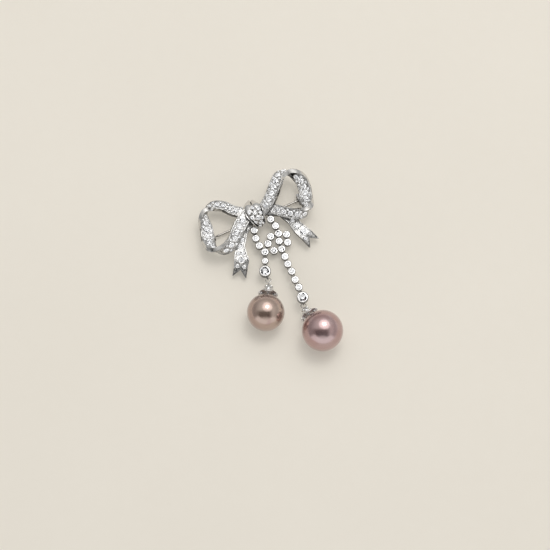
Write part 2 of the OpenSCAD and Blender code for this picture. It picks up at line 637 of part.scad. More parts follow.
module right_pearl() color([0.70, 0.56, 0.58]) pearl("r", right_pearl_centre, right_aim, right_pearl_size);

// The pin: x runs from the hinge to the catch, y along the hinge's axis
hinge_at = xyz(row_at(right_loop_rows, 8 / 14, true)) + [-0.38 * ribbon_width, 0.5, 0];
catch_at = xyz(row_at(left_loop_rows, 7.5 / 14, true)) + [0.42 * ribbon_width, 0, 0];
pin_run = [catch_at[0] - hinge_at[0], catch_at[1] - hinge_at[1], 0];
pin_length = norm(pin_run);
side_play = 0.1;
ear_inner = knuckle_thick / 2 + side_play;
knuckle_radius = 0.9;
catch_thick = 1.2;
catch_bore = point_radius + 0.22;
root_length = 2.1;
stem_end = pin_length - catch_thick / 2 - 1.2;
point_end = pin_length + point_reach;
tip_length = 1.6;
module pin_frame()
  translate([hinge_at[0], hinge_at[1], pin_height]) rotate([0, 0, heading(pin_run)]) children();
module across_pin(r, y, h) translate([0, y, 0]) rotate([-90, 0, 0]) cylinder(r = r, h = h);

// the stem is turned in one piece: stout root, stem, slim end and point
module pin_stem() color([0.80, 0.81, 0.83]) pin_frame() difference() {
  union() {
    across_pin(knuckle_radius, -knuckle_thick / 2, knuckle_thick);
    rotate([0, 90, 0]) rotate_extrude() polygon([
      [0, 0.6], [root_radius, 0.6], [root_radius, root_length], [stem_radius, root_length],
      [stem_radius, stem_end], [point_radius, stem_end + 1], [point_radius, point_end - tip_length],
      [0.08, point_end], [0, point_end]]);
  }
  across_pin(rivet_radius + running_gap, -knuckle_thick, 2 * knuckle_thick);
}
module hinge_rivet() color([0.80, 0.81, 0.83]) pin_frame() {
  half = ear_inner + ear_thick + 0.05;
  across_pin(rivet_radius, -half, 2 * half);
  for (side = [0, 1]) mirror([0, side, 0]) across_pin(rivet_radius + 0.25, half, 0.25);
}
// ears under a block that is soldered into the right loop
module hinge_ears() pin_frame() difference() {
  union() {
    for (side = [0, 1]) mirror([0, side, 0]) {
      across_pin(pin_height, ear_inner, ear_thick);
      translate([-1, ear_inner, 0]) cube([2, ear_thick, 1.4]);
    }
    translate([-1.1, -ear_inner - ear_thick, 1.2])
      cube([2.2, 2 * (ear_inner + ear_thick), hinge_at[2] - pin_height - 1.8]);
  }
  across_pin(rivet_radius + 0.02, -5, 10);
}
// catch with its mouth down, so that the stem leaves it straight
module catch() pin_frame() translate([pin_length, 0, 0]) difference() {
  union() {
    rotate([0, 90, 0]) cylinder(r = pin_height, h = catch_thick, center = true);
    translate([-catch_thick / 2, -0.8, 0.7]) cube([catch_thick, 1.6, catch_at[2] - pin_height - 1.35]);
  }
  rotate([0, 90, 0]) cylinder(r = catch_bore, h = 2 * catch_thick, center = true);
  translate([-catch_thick, -point_radius - 0.1, -2]) cube([2 * catch_thick, 2 * (point_radius + 0.1), 2]);
}

// a swallow tail: the V cut out of a ribbon's end
module notch(rows) {
  last = len(rows) - 1;
  end = xyz(rows[last]);
  run = unit(end - xyz(rows[last - 1]));
  half = rows[last][3] / 2;
  translate(end) rotate([0, -climb(run), heading(run)]) translate([0, 0, -2]) linear_extrude(height = 4)
    polygon([[-notch_depth, 0], [0.3, -half * 0.92], [0.3, half * 0.92]]);
}
module tail(rows) difference() {
  ribbon(rows, 2 * (len(rows) - 1), tail_thick, false, false);
  notch(rows);
}

module bow_frame() color([0.80, 0.81, 0.83]) {
  ribbon(right_loop_rows, 56, ribbon_thick, true, true);
  ribbon(left_loop_rows, 56, ribbon_thick, true, true);
  tail(left_tail_rows);
  tail(right_tail_rows);
  knot_wrap();
  translate([knot_at[0], knot_at[1], 2.7]) cylinder(r = 2.1, h = 3.6);
  hinge_ears();
  catch();
  eye(frame_eye_a, place("a1"), frame_eye_a[2] + 1);
  eye(frame_eye_b, place("b1"), frame_eye_b[2] + 1);
}

bow_frame();
pin_stem();
hinge_rivet();
right_loop_stones();
left_loop_stones();
right_tail_stones();
left_tail_stones();
knot_stones();
chain_knot();
chain_knot_stones();
collet_a1();
collet_a2();
collet_a3();
strand_a_stones();
collet_b1();
collet_b2();
collet_b8();
collet_b9();
collet_b10();
collet_b11();
collet_b12();
strand_b_stones();
small_collet();
small_stone();
left_big_collet();
left_big_stone();
right_big_collet();
right_big_stone();
ring_a1();
ring_a2();
ring_a3();
ring_a4();
ring_small();
ring_left_big();
ring_left_cap();
ring_b1();
ring_b2();
ring_b3();
ring_b8();
ring_b9();
ring_b10();
ring_b11();
ring_b12();
ring_right_big();
ring_right_cap();
left_cap();
left_cap_stones();
left_pearl();
right_cap();
right_cap_stones();
right_pearl();
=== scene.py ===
# %% [markdown]
# # A bow brooch with two pearl drops
# A jeweller's bow in white gold: one ribbon laid in two loops and wrapped by a knot, two swallow-tailed
# ends, and two strands of stones in small collets that cross in an open knot and carry a pearl each.
# It lies on its back on a pale table. All lengths below are typed in millimetres and made metres
# in one place, because a brooch is easier to think of in millimetres.

# %% Tools, and an empty table
import json
import math
import random
from collections import namedtuple

import bmesh
import bpy
import numpy as np
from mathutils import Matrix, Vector

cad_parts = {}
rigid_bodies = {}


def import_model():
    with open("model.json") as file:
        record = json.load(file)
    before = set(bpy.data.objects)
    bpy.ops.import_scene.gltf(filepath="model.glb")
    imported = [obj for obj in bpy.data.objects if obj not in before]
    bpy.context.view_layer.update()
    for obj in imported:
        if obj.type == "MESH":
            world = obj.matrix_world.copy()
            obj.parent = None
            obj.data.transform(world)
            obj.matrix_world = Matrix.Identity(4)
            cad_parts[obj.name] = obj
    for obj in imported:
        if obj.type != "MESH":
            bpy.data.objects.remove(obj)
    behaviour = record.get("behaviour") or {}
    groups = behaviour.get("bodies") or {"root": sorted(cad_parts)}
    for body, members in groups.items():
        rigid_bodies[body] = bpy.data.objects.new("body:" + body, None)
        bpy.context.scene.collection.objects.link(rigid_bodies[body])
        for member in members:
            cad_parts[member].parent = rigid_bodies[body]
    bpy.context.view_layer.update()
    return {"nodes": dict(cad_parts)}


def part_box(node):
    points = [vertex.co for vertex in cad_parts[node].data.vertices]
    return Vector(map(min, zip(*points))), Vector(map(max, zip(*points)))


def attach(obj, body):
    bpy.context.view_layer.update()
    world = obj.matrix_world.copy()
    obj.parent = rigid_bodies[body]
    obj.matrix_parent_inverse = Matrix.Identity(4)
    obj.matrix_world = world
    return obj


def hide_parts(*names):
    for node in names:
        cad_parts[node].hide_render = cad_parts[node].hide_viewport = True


for leftover in list(bpy.data.objects):
    bpy.data.objects.remove(leftover)
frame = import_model()
MM = 0.001

# %% [markdown]
# ## The camera and the light
# The brooch is seen from steeply above, 75 degrees over the table, from far away with a long lens, so
# there is hardly any perspective. One big soft lamp hangs over the table and a little behind the brooch,
# brighter in its middle, where the bulb sits: it makes the round highlight with its glow in the upper half of
# each pearl. Polished metal and pearls show whatever stands round them, so the room is as important as the
# lamp: pale all round as in a tent of white cloth, a little darker low down and on the left, with a dark gap
# across the tent where the camera looks in and a pale card in front. The card makes the light lower half of
# each pearl, the gap above it the dark arch under the highlight, and the low darker cloth the dark lines along
# the metal. An evenly lit dome would be simpler, but then metal has nothing dark to mirror and looks like
# plastic.

# %% Camera
PHOTO_WIDTH_MM = 165.0
LENS_MM = 120.0
SENSOR_MM = 36.0
ELEVATION = math.radians(75)
aim = Vector((1.5, -4.90, 5.0)) * MM
towards_camera = Vector((0, -math.cos(ELEVATION), math.sin(ELEVATION)))
camera_data = bpy.data.cameras.new("long_lens")
camera_data.lens = LENS_MM
camera_data.sensor_width = SENSOR_MM
camera = bpy.data.objects.new("long_lens", camera_data)
bpy.context.scene.collection.objects.link(camera)
camera.location = aim + towards_camera * (PHOTO_WIDTH_MM * MM * LENS_MM / SENSOR_MM)
camera.rotation_mode = "QUATERNION"
camera.rotation_quaternion = (-towards_camera).to_track_quat("-Z", "Y")
bpy.context.scene.camera = camera
bpy.context.scene.view_settings.view_transform = "Standard"
print("camera stands", round(camera.location.length, 3), "m away")

# %% The lamp: a small bulb before a large cloth
OVERHEAD = (0.16, 0.36, 0.92)
LAMP_COLOUR = (1.0, 0.985, 0.965)


def soft_lamp(name, distance, width, watts):
    """A round lamp that hangs overhead and looks at the brooch."""
    data = bpy.data.lights.new(name, "AREA")
    data.shape = "DISK"
    data.size = width
    data.energy = watts
    data.color = LAMP_COLOUR
    lamp = bpy.data.objects.new(name, data)
    bpy.context.scene.collection.objects.link(lamp)
    way = Vector(OVERHEAD).normalized()
    lamp.location = way * distance
    lamp.rotation_mode = "QUATERNION"
    lamp.rotation_quaternion = (-way).to_track_quat("-Z", "Y")
    print(name, "is", width, "m wide and hangs", distance, "m from the brooch")


soft_lamp("softbox_cloth", 0.90, 0.96, 2.4)
soft_lamp("softbox_bulb", 0.88, 0.30, 1.3)

# %% The room, in three directions: to the right, away and up
room = bpy.data.worlds.new("studio_room")
room.use_nodes = True
bpy.context.scene.world = room
sky, wires = room.node_tree.nodes, room.node_tree.links
looking = sky.new("ShaderNodeSeparateXYZ")
wires.new(sky.new("ShaderNodeTexCoord").outputs["Generated"], looking.inputs["Vector"])
right, away, above = (looking.outputs[axis] for axis in "XYZ")


def sky_step(value, low, high, at_low, at_high):
    """A soft step in the room: at_low under low, at_high over high."""
    step = sky.new("ShaderNodeMapRange")
    step.interpolation_type = "SMOOTHSTEP"
    for socket, number in zip(("From Min", "From Max", "To Min", "To Max"), (low, high, at_low, at_high)):
        step.inputs[socket].default_value = number
    wires.new(value, step.inputs["Value"])
    return step.outputs["Result"]


def sky_math(operation, *terms):
    """One sum of the room's values and plain numbers."""
    node = sky.new("ShaderNodeMath")
    node.operation = operation
    for socket, term in zip(node.inputs, terms):
        if isinstance(term, float):
            socket.default_value = term
        else:
            wires.new(term, socket)
    return node.outputs["Value"]


# %% How bright the room is, all round
WALLS, GAP, CARD = 0.80, 0.05, 1.10
AT_TABLE, LOW_CLOTH, HIGH_CLOTH = 0.95, 0.62, 1.0
LEFT_CLOTH = 0.65
near_gap = sky_step(away, -0.78, -0.60, WALLS, GAP)
far_gap = sky_step(away, -0.24, 0.10, GAP, WALLS)
sides = sky_step(sky_math("ABSOLUTE", sky_math("ADD", right, 0.10)), 0.45, 0.90, GAP, WALLS)
walls = sky_math("MAXIMUM", sky_math("MAXIMUM", near_gap, far_gap), sides)
height = sky_math("MAXIMUM", sky_step(above, 0.0, 0.25, AT_TABLE, LOW_CLOTH),
                  sky_step(above, 0.25, 0.75, LOW_CLOTH, HIGH_CLOTH))
tent = sky_math("MULTIPLY", walls, height)
tent = sky_math("MULTIPLY", tent, sky_step(right, -0.95, -0.30, LEFT_CLOTH, 1.0))
card = sky_math("MULTIPLY", sky_step(above, 0.50, 0.62, 1.0, 0.0), sky_step(away, -0.62, -0.30, CARD, 0.0))
wires.new(sky_math("MAXIMUM", tent, card), sky["Background"].inputs["Strength"])
sky["Background"].inputs["Color"].default_value = (0.98, 0.975, 0.955, 1)
print("the room's brightness comes from", len(sky), "nodes")


# %% [markdown]
# ## Finishes
# Each finish is a small tree of nodes on one surface shader. Pictures of real metal could be wrapped round the
# pieces, but nodes stay sharp however near the camera comes. Real surfaces are never even, so a noise in
# object space changes the gloss a little from place to place, and a finer one lifts the surface by
# some thousandths of a millimetre. Numbers that are the same all over are typed on the shader itself.


# %% A helper for the node trees
class Finish:
    """A material and the few node recipes that all finishes here share."""

    def __init__(self, name):
        self.material = bpy.data.materials.new(name)
        self.material.use_nodes = True
        self.nodes = self.material.node_tree.nodes
        self.links = self.material.node_tree.links
        self.shader = self.nodes["Principled BSDF"]
        self.place = self.nodes.new("ShaderNodeTexCoord").outputs["Object"]

    def node(self, kind, **sockets):
        """A new node with numbers typed on its sockets."""
        made = self.nodes.new("ShaderNode" + kind)
        for name, value in sockets.items():
            made.inputs[name.replace("_", " ")].default_value = value
        return made

    def grain(self, scale, detail=3.0, roughness=0.55, distortion=0.0):
        """A noise in the piece's own space."""
        noise = self.node("TexNoise", Scale=scale, Detail=detail, Roughness=roughness, Distortion=distortion)
        self.links.new(self.place, noise.inputs["Vector"])
        return noise.outputs["Fac"]

    def between(self, value, low, high, from_low=0.35, from_high=0.65):
        """A value brought from one range into another."""
        spread = self.node("MapRange", From_Min=from_low, From_Max=from_high, To_Min=low, To_Max=high)
        self.links.new(value, spread.inputs["Value"])
        return spread.outputs["Result"]

    def colours(self, value, stops):
        """A value turned into the colours between these stops."""
        chart = self.node("ValToRGB")
        ramp = chart.color_ramp
        while len(ramp.elements) < len(stops):
            ramp.elements.new(0.5)
        for element, (at, colour) in zip(ramp.elements, stops):
            element.position = at
            element.color = (*colour, 1)
        self.links.new(value, chart.inputs["Fac"])
        return chart.outputs["Color"]

    def mixed(self, share, a, b):
        """Two colours, typed or from other nodes, mixed by a share."""
        mix = self.node("Mix")
        mix.data_type = "RGBA"
        self.links.new(share, mix.inputs[0])
        for socket, value in ((mix.inputs[6], a), (mix.inputs[7], b)):
            if isinstance(value, tuple):
                socket.default_value = (*value, 1)
            else:
                self.links.new(value, socket)
        return mix.outputs[2]

    def bump(self, value, height_mm):
        """A relief of this height."""
        relief = self.node("Bump", Distance=height_mm * MM)
        self.links.new(value, relief.inputs["Height"])
        self.drive("Normal", relief.outputs["Normal"])

    def drive(self, socket, value):
        self.links.new(value, self.shader.inputs[socket])

    def set(self, **sockets):
        for name, value in sockets.items():
            self.shader.inputs[name.replace("_", " ")].default_value = value


print("a finish has these recipes:", [name for name in vars(Finish) if not name.startswith("_")])

# %% [markdown]
# ## White gold
# The loops, the knot and the jump rings are polished white gold. Hand polishing leaves faint waves and
# hairlines, so the gloss wanders between mirror and satin and the surface has a very low, slow bump.
# The beds between the stones are the rough ground left by the graver, pale and dark in fine spots, and the
# seats round them are cut bright. The walls of the collets, the hollows, the post under the knot and the pin's
# fittings are the same metal again, duller as no polishing mop reaches them, and painted darker as painted
# shade, like every face that looks sideways: that painted shade draws a thin dark line round every stone. The
# narrow rims of the ribbon get a hand burnish and, like the ribbon ends, are painted darker in spots, as
# painted shade for the dark lines along the edges. Where the side walls turn up at the bends and the channel
# floors look straight up at the lamp, the metal is rougher and painted darker, a painted shade that dims the
# lamp they mirror. The pin is brushed satin and painted a little darker, as painted shade under the bow. One
# recipe with other numbers makes them all, so they look like one metal, which separate recipes would not.


# %% The metals
def metal(name, bright, dark, gloss, dull, wave_mm, waves=900.0, spots=420.0, pure=1.0):
    """White gold between two tones and two degrees of polish; pure is how much of it mirrors as metal."""
    f = Finish(name)
    f.set(Metallic=pure, IOR=2.6)
    f.drive("Base Color", f.colours(f.grain(spots, 2.0), [(0.30, dark), (0.62, bright)]))
    f.drive("Roughness", f.between(f.grain(1900.0, 4.0, 0.65), gloss, dull))
    f.bump(f.grain(waves, 3.0, 0.5), wave_mm)
    return f.material


polished = metal("polished_white_gold", (0.72, 0.71, 0.695), (0.60, 0.59, 0.58), 0.15, 0.26, 0.004)
# painted shade: rims and ribbon ends darker, in dark spots, for the dark lines along the edges
edge_shade_gold = metal("edge_shade_white_gold", (0.62, 0.615, 0.605), (0.14, 0.135, 0.13), 0.18, 0.34, 0.012,
                  spots=900.0, pure=0.65)
# painted shade: rougher, and painted darker to dim the lamp, where walls and floors look straight up
painted_dim_gold = metal("painted_dim_white_gold", (0.54, 0.53, 0.515), (0.46, 0.45, 0.44), 0.40, 0.50, 0.006)
soft_polished = metal("soft_polished_white_gold", (0.84, 0.83, 0.82), (0.66, 0.65, 0.64), 0.16, 0.30, 0.008,
                      pure=0.65)
bright_cut = metal("bright_cut_white_gold", (0.80, 0.79, 0.78), (0.62, 0.61, 0.60), 0.14, 0.30, 0.010)
ground = metal("pave_ground_white_gold", (0.70, 0.695, 0.685), (0.03, 0.03, 0.03), 0.16, 0.32, 0.16,
               waves=1500.0, spots=1900.0, pure=0.70)
# painted shade: a darker, duller copy of the metal for walls, hollows and faces that look sideways
painted_shade_gold = metal("painted_shade_white_gold", (0.22, 0.215, 0.21), (0.10, 0.10, 0.10), 0.20, 0.38, 0.012)
# brushed satin, and painted a little darker as painted shade, for the pin lies under the bow
satin_and_shade_gold = metal("satin_and_shade_white_gold", (0.52, 0.50, 0.47), (0.42, 0.40, 0.38), 0.28, 0.42, 0.006)
metals = (polished, edge_shade_gold, painted_dim_gold, soft_polished, bright_cut, ground, painted_shade_gold, satin_and_shade_gold)
print("metals:", [finish.name for finish in metals])

# %% [markdown]
# ## Brilliants
# The stones are clear and bend light more than any glass: index 2.42. Cut as real brilliants they
# throw the lamp back through the table facet by total reflection, with dark facets between. Part of the
# light is scattered as from white, most of it on the small facets round the girdle, which also glow a little as
# painted light: that stands for their many tiny flashes, which are too small for the picture. The table and its
# ring of stars stay clear, with a fainter painted glow. Some facets are painted dark, a painted reflection that
# stands for those that look past the lamp, and more of them in the ribbon and in the two large stones. Pure
# clear glass would be closer to the real stone, but its flashes need far more rays than a picture has. A faint
# cloudiness in the colour keeps neighbouring stones from looking like copies.

# %% Clear stone, lively crown and dark facets
WHITE, FAINT_BLUE = (1.0, 1.0, 1.0), (0.94, 0.96, 1.0)


def brilliant_finish(name, through, sparkle):
    """Stone that lets a share of the light through, scatters the rest as from white, and glows a little as
    painted light.
    """
    f = Finish(name)
    f.set(IOR=2.42, Transmission_Weight=through, Emission_Color=(*WHITE, 1.0), Emission_Strength=sparkle)
    f.drive("Base Color", f.colours(f.grain(260.0), [(0.3, FAINT_BLUE), (0.7, WHITE)]))
    f.drive("Roughness", f.between(f.grain(2600.0), 0.0, 0.02))
    return f.material


# painted light: the clear facets glow faintly and the crown's facets more, in place of tiny flashes
clear = brilliant_finish("brilliant_clear", 0.86, 0.06)
crown_glow = brilliant_finish("brilliant_crown", 0.14, 0.26)
# painted reflection: a near-black mirror for facets that look past the lamp
painted_dark_facet = metal("brilliant_painted_dark_facet", (0.16, 0.16, 0.17), (0.04, 0.04, 0.045), 0.05, 0.10, 0.001)
print("stone finishes:", clear.name, crown_glow.name, painted_dark_facet.name)

# %% [markdown]
# ## Nacre
# A pearl's colour comes from thousands of thin layers over a dark or pale core: a body colour, a redder
# colour that shows towards the rim, and a soft clear gloss on top. Plain paint with a varnish would look like
# china; the layers mirror the room in the pearl's own colour, so more than half of the finish is metallic, and
# rather smooth. Layer Weight, which knows how steeply the surface is seen, brings in the rim, and slow clouds
# and a few redder patches break it up.


# %% Pearl finish
def nacre(name, body, cloud, rim, blush):
    """The body colour with paler clouds, another colour towards the rim, and patches of a blush."""
    f = Finish(name)
    facing = f.node("LayerWeight", Blend=0.40)
    clouds = f.between(f.grain(120.0, 3.0, 0.5, 0.8), 0.0, 1.0)
    middle = f.mixed(clouds, body, cloud)
    edge = f.between(facing.outputs["Facing"], 0.0, 1.0, 0.15, 0.80)
    patches = f.between(f.grain(210.0, 2.0, 0.5, 0.4), 0.0, 0.8, 0.50, 0.70)
    f.drive("Base Color", f.mixed(patches, f.mixed(edge, middle, rim), blush))
    f.drive("Roughness", f.between(f.grain(900.0, 4.0), 0.19, 0.25))
    f.set(Metallic=0.74, IOR=1.6, Coat_Weight=1.0, Coat_Roughness=0.17, Coat_IOR=2.3)
    f.bump(f.grain(2400.0, 2.0), 0.0015)
    return f.material


bronze_nacre = nacre("bronze_nacre", body=(0.41, 0.26, 0.205), cloud=(0.45, 0.315, 0.245),
                     rim=(0.26, 0.135, 0.10), blush=(0.28, 0.13, 0.11))
mauve_nacre = nacre("mauve_nacre", body=(0.42, 0.24, 0.235), cloud=(0.46, 0.31, 0.315),
                    rim=(0.31, 0.12, 0.105), blush=(0.33, 0.135, 0.12))
print("pearl finishes:", bronze_nacre.name, mauve_nacre.name)


# %% [markdown]
# ## Building pieces
# Everything could be pulled into shape by hand, but a typed shape can be measured and made again. A helper
# turns points in millimetres and faces into a mesh that rides on the brooch. Edges sharper than
# 35 degrees stay crisp and everything else is shaded smooth.


# %% Mesh helpers
def piece(name, points, faces, material, crisp=35.0, weld=0.0):
    """A mesh that rides on the brooch; with crisp=None all its faces stay flat."""
    data = bpy.data.meshes.new(name)
    data.from_pydata([tuple(c * MM for c in p) for p in points], [], faces)
    b = bmesh.new()
    b.from_mesh(data)
    if weld:
        bmesh.ops.remove_doubles(b, verts=b.verts, dist=weld * MM)
    bmesh.ops.recalc_face_normals(b, faces=b.faces)
    b.to_mesh(data)
    b.free()
    if crisp is not None:
        data.shade_smooth()
        data.set_sharp_from_angle(angle=math.radians(crisp))
    data.materials.append(material)
    made = bpy.data.objects.new(name, data)
    bpy.context.scene.collection.objects.link(made)
    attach(made, "brooch")
    return made


def joined(parts):
    """Several (points, faces) in one."""
    points, faces = [], []
    for p, f in parts:
        shift = len(points)
        points.extend(p)
        faces.extend([tuple(i + shift for i in face) for face in f])
    return points, faces


def metal_parts(name, parts, material, **shading):
    """Several small parts in one piece of white metal."""
    made = piece(name, *joined(parts), material, **shading)
    print(name, "holds", len(parts), "parts with", len(made.data.polygons), "faces")


def strip(rings, caps=True):
    """Faces between closed rings of points that have the same count, and over both ends."""
    n = len(rings[0])
    faces = []
    for i in range(len(rings) - 1):
        for j in range(n):
            a, b = i * n + j, i * n + (j + 1) % n
            faces.append((a, b, b + n, a + n))
    if caps:
        faces.append(tuple(range(n)))
        faces.append(tuple(range((len(rings) - 1) * n, len(rings) * n)))
    return [p for r in rings for p in r], faces


def unit(v):
    return v / np.linalg.norm(v)


print("two rings of four points make", len(strip([[(0, 0, 0)] * 4] * 2)[1]), "faces, with both ends")

# %% [markdown]
# ## Reading the stones' places
# The solid model holds a plain stone at every setting. Each plain stone says where its girdle lies, how
# wide it is and which way its table looks, so the finely cut stones go exactly there. The places could be typed
# here a second time, but two lists drift apart.


# %% Which triangles hang together
def loose_stones(mesh):
    """The points of a mesh in mm, and its triangles in one group for each loose stone."""
    mesh.calc_loop_triangles()
    numbers, points, index = {}, [], []
    for v in mesh.vertices:
        key = tuple(round(c / MM, 4) for c in v.co)
        if key not in numbers:
            numbers[key] = len(points)
            points.append(np.array(key))
        index.append(numbers[key])
    parent = list(range(len(points)))

    def root(i):
        while parent[i] != i:
            parent[i] = parent[parent[i]]
            i = parent[i]
        return i

    triangles = [[index[i] for i in t.vertices] for t in mesh.loop_triangles]
    for t in triangles:
        for k in t[1:]:
            parent[root(t[0])] = root(k)
    groups = {}
    for t in triangles:
        groups.setdefault(root(t[0]), []).append(t)
    return points, groups.values()


STONE_NODES = [n for n in frame["nodes"] if n.endswith("_stones") or n.endswith("_stone")]
print("parts of the solid model that are stones:", len(STONE_NODES))

# %% Where every stone sits
SLIVER = 1e-7
GIRDLE_PLAY = 0.02


def setting(points, group):
    """(girdle centre, direction off the table, direction along, radius) in mm of one loose stone."""
    flats = {}
    for a, b, c in group:
        cross = np.cross(points[b] - points[a], points[c] - points[a])
        area = np.linalg.norm(cross)
        if area < SLIVER:
            continue
        key = tuple(np.round(cross / area, 1))
        total, normal, middle = flats.get(key, (0, np.zeros(3), np.zeros(3)))
        flats[key] = (total + area, normal + cross, middle + area * (points[a] + points[b] + points[c]) / 3)
    total, normal, middle = max(flats.values(), key=lambda flat: flat[0])
    off, middle = unit(normal), middle / total
    own = [points[i] for i in sorted({i for t in group for i in t})]
    out = [np.linalg.norm((p - middle) - ((p - middle) @ off) * off) for p in own]
    girdle = [p for p, r in zip(own, out) if r > max(out) - GIRDLE_PLAY]
    centre = sum(girdle) / len(girdle)
    return centre, off, unit(girdle[0] - centre), max(out)


stones = {}
for node in STONE_NODES:
    points, groups = loose_stones(frame["nodes"][node].data)
    stones[node] = [setting(points, group) for group in groups]
print("stones:", {node: len(found) for node, found in stones.items()})

# %% [markdown]
# ## Cutting a brilliant
# A brilliant has a table, eight stars, eight kites and sixteen upper facets over the girdle,
# and eight long kites and sixteen lower facets under it. It could be a texture on a cone, but only real facets
# flash one by one when the light moves. The pavilion slopes at about 40 degrees, where clear stone of this
# index turns the light back up.

# %% One stone, in shares of its own width
TABLE_SHARE = 0.57
CROWN_SHARE = 0.155
PAVILION_SHARE = 0.432
GIRDLE_SHARE = 0.02
LOWER_SHARE = 0.23
STAR_SHARE = 0.765
EIGHTH_FACETS = 7
FACETS = 1 + 8 * EIGHTH_FACETS + 16


def brilliant(centre, off, along, radius, pavilion, turn):
    """Points and facets of one stone: the table, seven facets for each eighth, and the girdle."""
    beside = np.cross(off, along)
    crown = 2 * radius * CROWN_SHARE
    belt = 2 * radius * GIRDLE_SHARE
    points = []

    def spot(angle, share, height):
        a = math.radians(angle) + turn
        points.append(centre + radius * share * (math.cos(a) * along + math.sin(a) * beside) + height * off)

    half = math.cos(math.radians(22.5))
    for k in range(8):
        spot(45 * k, TABLE_SHARE, crown)
    for k in range(8):
        spot(45 * k + 22.5, STAR_SHARE, crown * (1 - STAR_SHARE * half) / (1 - TABLE_SHARE))
    for k in range(16):
        spot(22.5 * k, 1.0, 0.0)
    for k in range(16):
        spot(22.5 * k, 1.0, -belt)
    for k in range(8):
        spot(45 * k + 22.5, LOWER_SHARE, -belt - pavilion * (1 - LOWER_SHARE * half))
    points.append(centre - (belt + pavilion) * off)
    table, star, upper, lower, keel, culet = 0, 8, 16, 32, 48, 56
    faces = [tuple(range(8))]
    for k in range(8):
        n, p = (k + 1) % 8, (k - 1) % 8
        g, m, h = 2 * k, 2 * k + 1, (2 * k + 2) % 16
        faces.append((table + k, star + k, table + n))
        faces.append((table + k, star + p, upper + g, star + k))
        faces.append((star + k, upper + g, upper + m))
        faces.append((star + k, upper + m, upper + h))
        faces.append((culet, keel + k, lower + g, keel + p))
        faces.append((keel + k, lower + m, lower + g))
        faces.append((keel + k, lower + h, lower + m))
    for k in range(16):
        n = (k + 1) % 16
        faces.append((upper + k, lower + k, lower + n, upper + n))
    return points, faces


print("a brilliant has", FACETS, "faces with its girdle")

# %% All the stones
RIBBON_CUT = {"deepest": 0.80, "raise_by": 0.08, "dark_crown": 0.12, "dark_stars": 0.50}
LARGE_CUT = {"deepest": 1.3, "raise_by": 0.0, "dark_crown": 0.40, "dark_stars": 0.60}
STRAND_CUT = {"deepest": 1.3, "raise_by": 0.0, "dark_crown": 0.0, "dark_stars": 0.30}
random.seed(7)


def set_stones(node, deepest, raise_by, dark_crown, dark_stars):
    """Fine stones in the places of a node's plain ones, with those shares of the upper facets painted dark."""
    cut = []
    for centre, off, along, radius in stones[node]:
        depth = min(2 * radius * PAVILION_SHARE, deepest)
        cut.append(brilliant(centre + off * raise_by, off, along, radius, depth, random.uniform(0, 0.8)))
    name = node.replace("_stones", "_brilliants").replace("_stone", "_brilliant")
    made = piece(name, *joined(cut), clear, crisp=None)
    made.data.materials.append(crown_glow)
    made.data.materials.append(painted_dark_facet)
    facets = made.data.polygons
    for start in range(0, len(facets), FACETS):
        for k in range(8):
            for facet in range(4):
                dark = random.random() < (dark_crown if facet else dark_stars)
                facets[start + 1 + EIGHTH_FACETS * k + facet].material_index = 2 if dark else min(facet, 1)
    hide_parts(node)
    print(name, "holds", len(cut), "stones with", len(facets), "facets")


for node in STONE_NODES:
    if node.endswith(("loop_stones", "tail_stones", "knot_stones")):  # both knots, the bow's and the strands'
        set_stones(node, **RIBBON_CUT)
    elif "_big_" in node:
        set_stones(node, **LARGE_CUT)
    else:
        set_stones(node, **STRAND_CUT)

# %% [markdown]
# ## The ribbon's way
# The bow is one flat ribbon that climbs out of the knot, turns over at the end of each loop and
# comes back under. A curve with a bevel could carry it, but a jeweller thinks of how far the ribbon has turned
# over at each place. So its way is a short table: where the ribbon is, how high, how wide, and how far it has
# turned over. A smooth line through the rows gives every place between them.

# %% The rows of the ribbons, in shares of their own reach
KNOT = (-4.2, 14.85)
RIBBON_WIDTH, RIBBON_THICK, RIM, CHANNEL = 3.9, 1.45, 0.35, 0.85
LIFT, REACH, RISE = 6.2, 18.0, 13.0
LEFT_TAIL, RIGHT_TAIL = 19.5, 17.5
KNOT_LIFT, KNOT_WIDTH = 7.3, 5.4
right_loop_rows = [
    (0.050, -0.060, 0.84, 0.86, 0), (0.178, 0.150, 0.94, 0.96, 12), (0.265, 0.394, 0.98, 1.00, 22),
    (0.328, 0.643, 1.00, 1.00, 28), (0.403, 0.885, 0.97, 1.00, 46), (0.575, 0.965, 0.84, 1.00, 88),
    (0.742, 0.830, 0.71, 1.00, 140), (0.817, 0.602, 0.66, 1.00, 162), (0.842, 0.363, 0.66, 1.00, 165),
    (0.872, 0.134, 0.68, 0.95, 120), (0.792, 0.001, 0.69, 0.87, 60), (0.642, -0.023, 0.69, 0.85, 25),
    (0.458, 0.029, 0.66, 0.84, 15), (0.290, 0.093, 0.63, 0.82, 8), (0.120, 0.080, 0.60, 0.80, 0)]
left_loop_rows = [
    (0.000, -0.080, 0.84, 0.86, 0), (-0.167, 0.114, 0.94, 0.97, 8), (-0.267, 0.335, 0.98, 1.00, 15),
    (-0.337, 0.564, 1.00, 1.00, 20), (-0.408, 0.787, 0.97, 1.00, 40), (-0.558, 0.926, 0.84, 1.00, 75),
    (-0.733, 0.875, 0.73, 1.00, 125), (-0.808, 0.666, 0.68, 1.00, 160), (-0.833, 0.425, 0.66, 1.00, 165),
    (-0.875, 0.188, 0.68, 0.95, 135), (-0.858, -0.025, 0.69, 0.87, 90), (-0.725, -0.156, 0.69, 0.86, 35),
    (-0.550, -0.146, 0.68, 0.84, 20), (-0.383, -0.043, 0.65, 0.82, 12), (-0.190, 0.001, 0.62, 0.80, 0)]
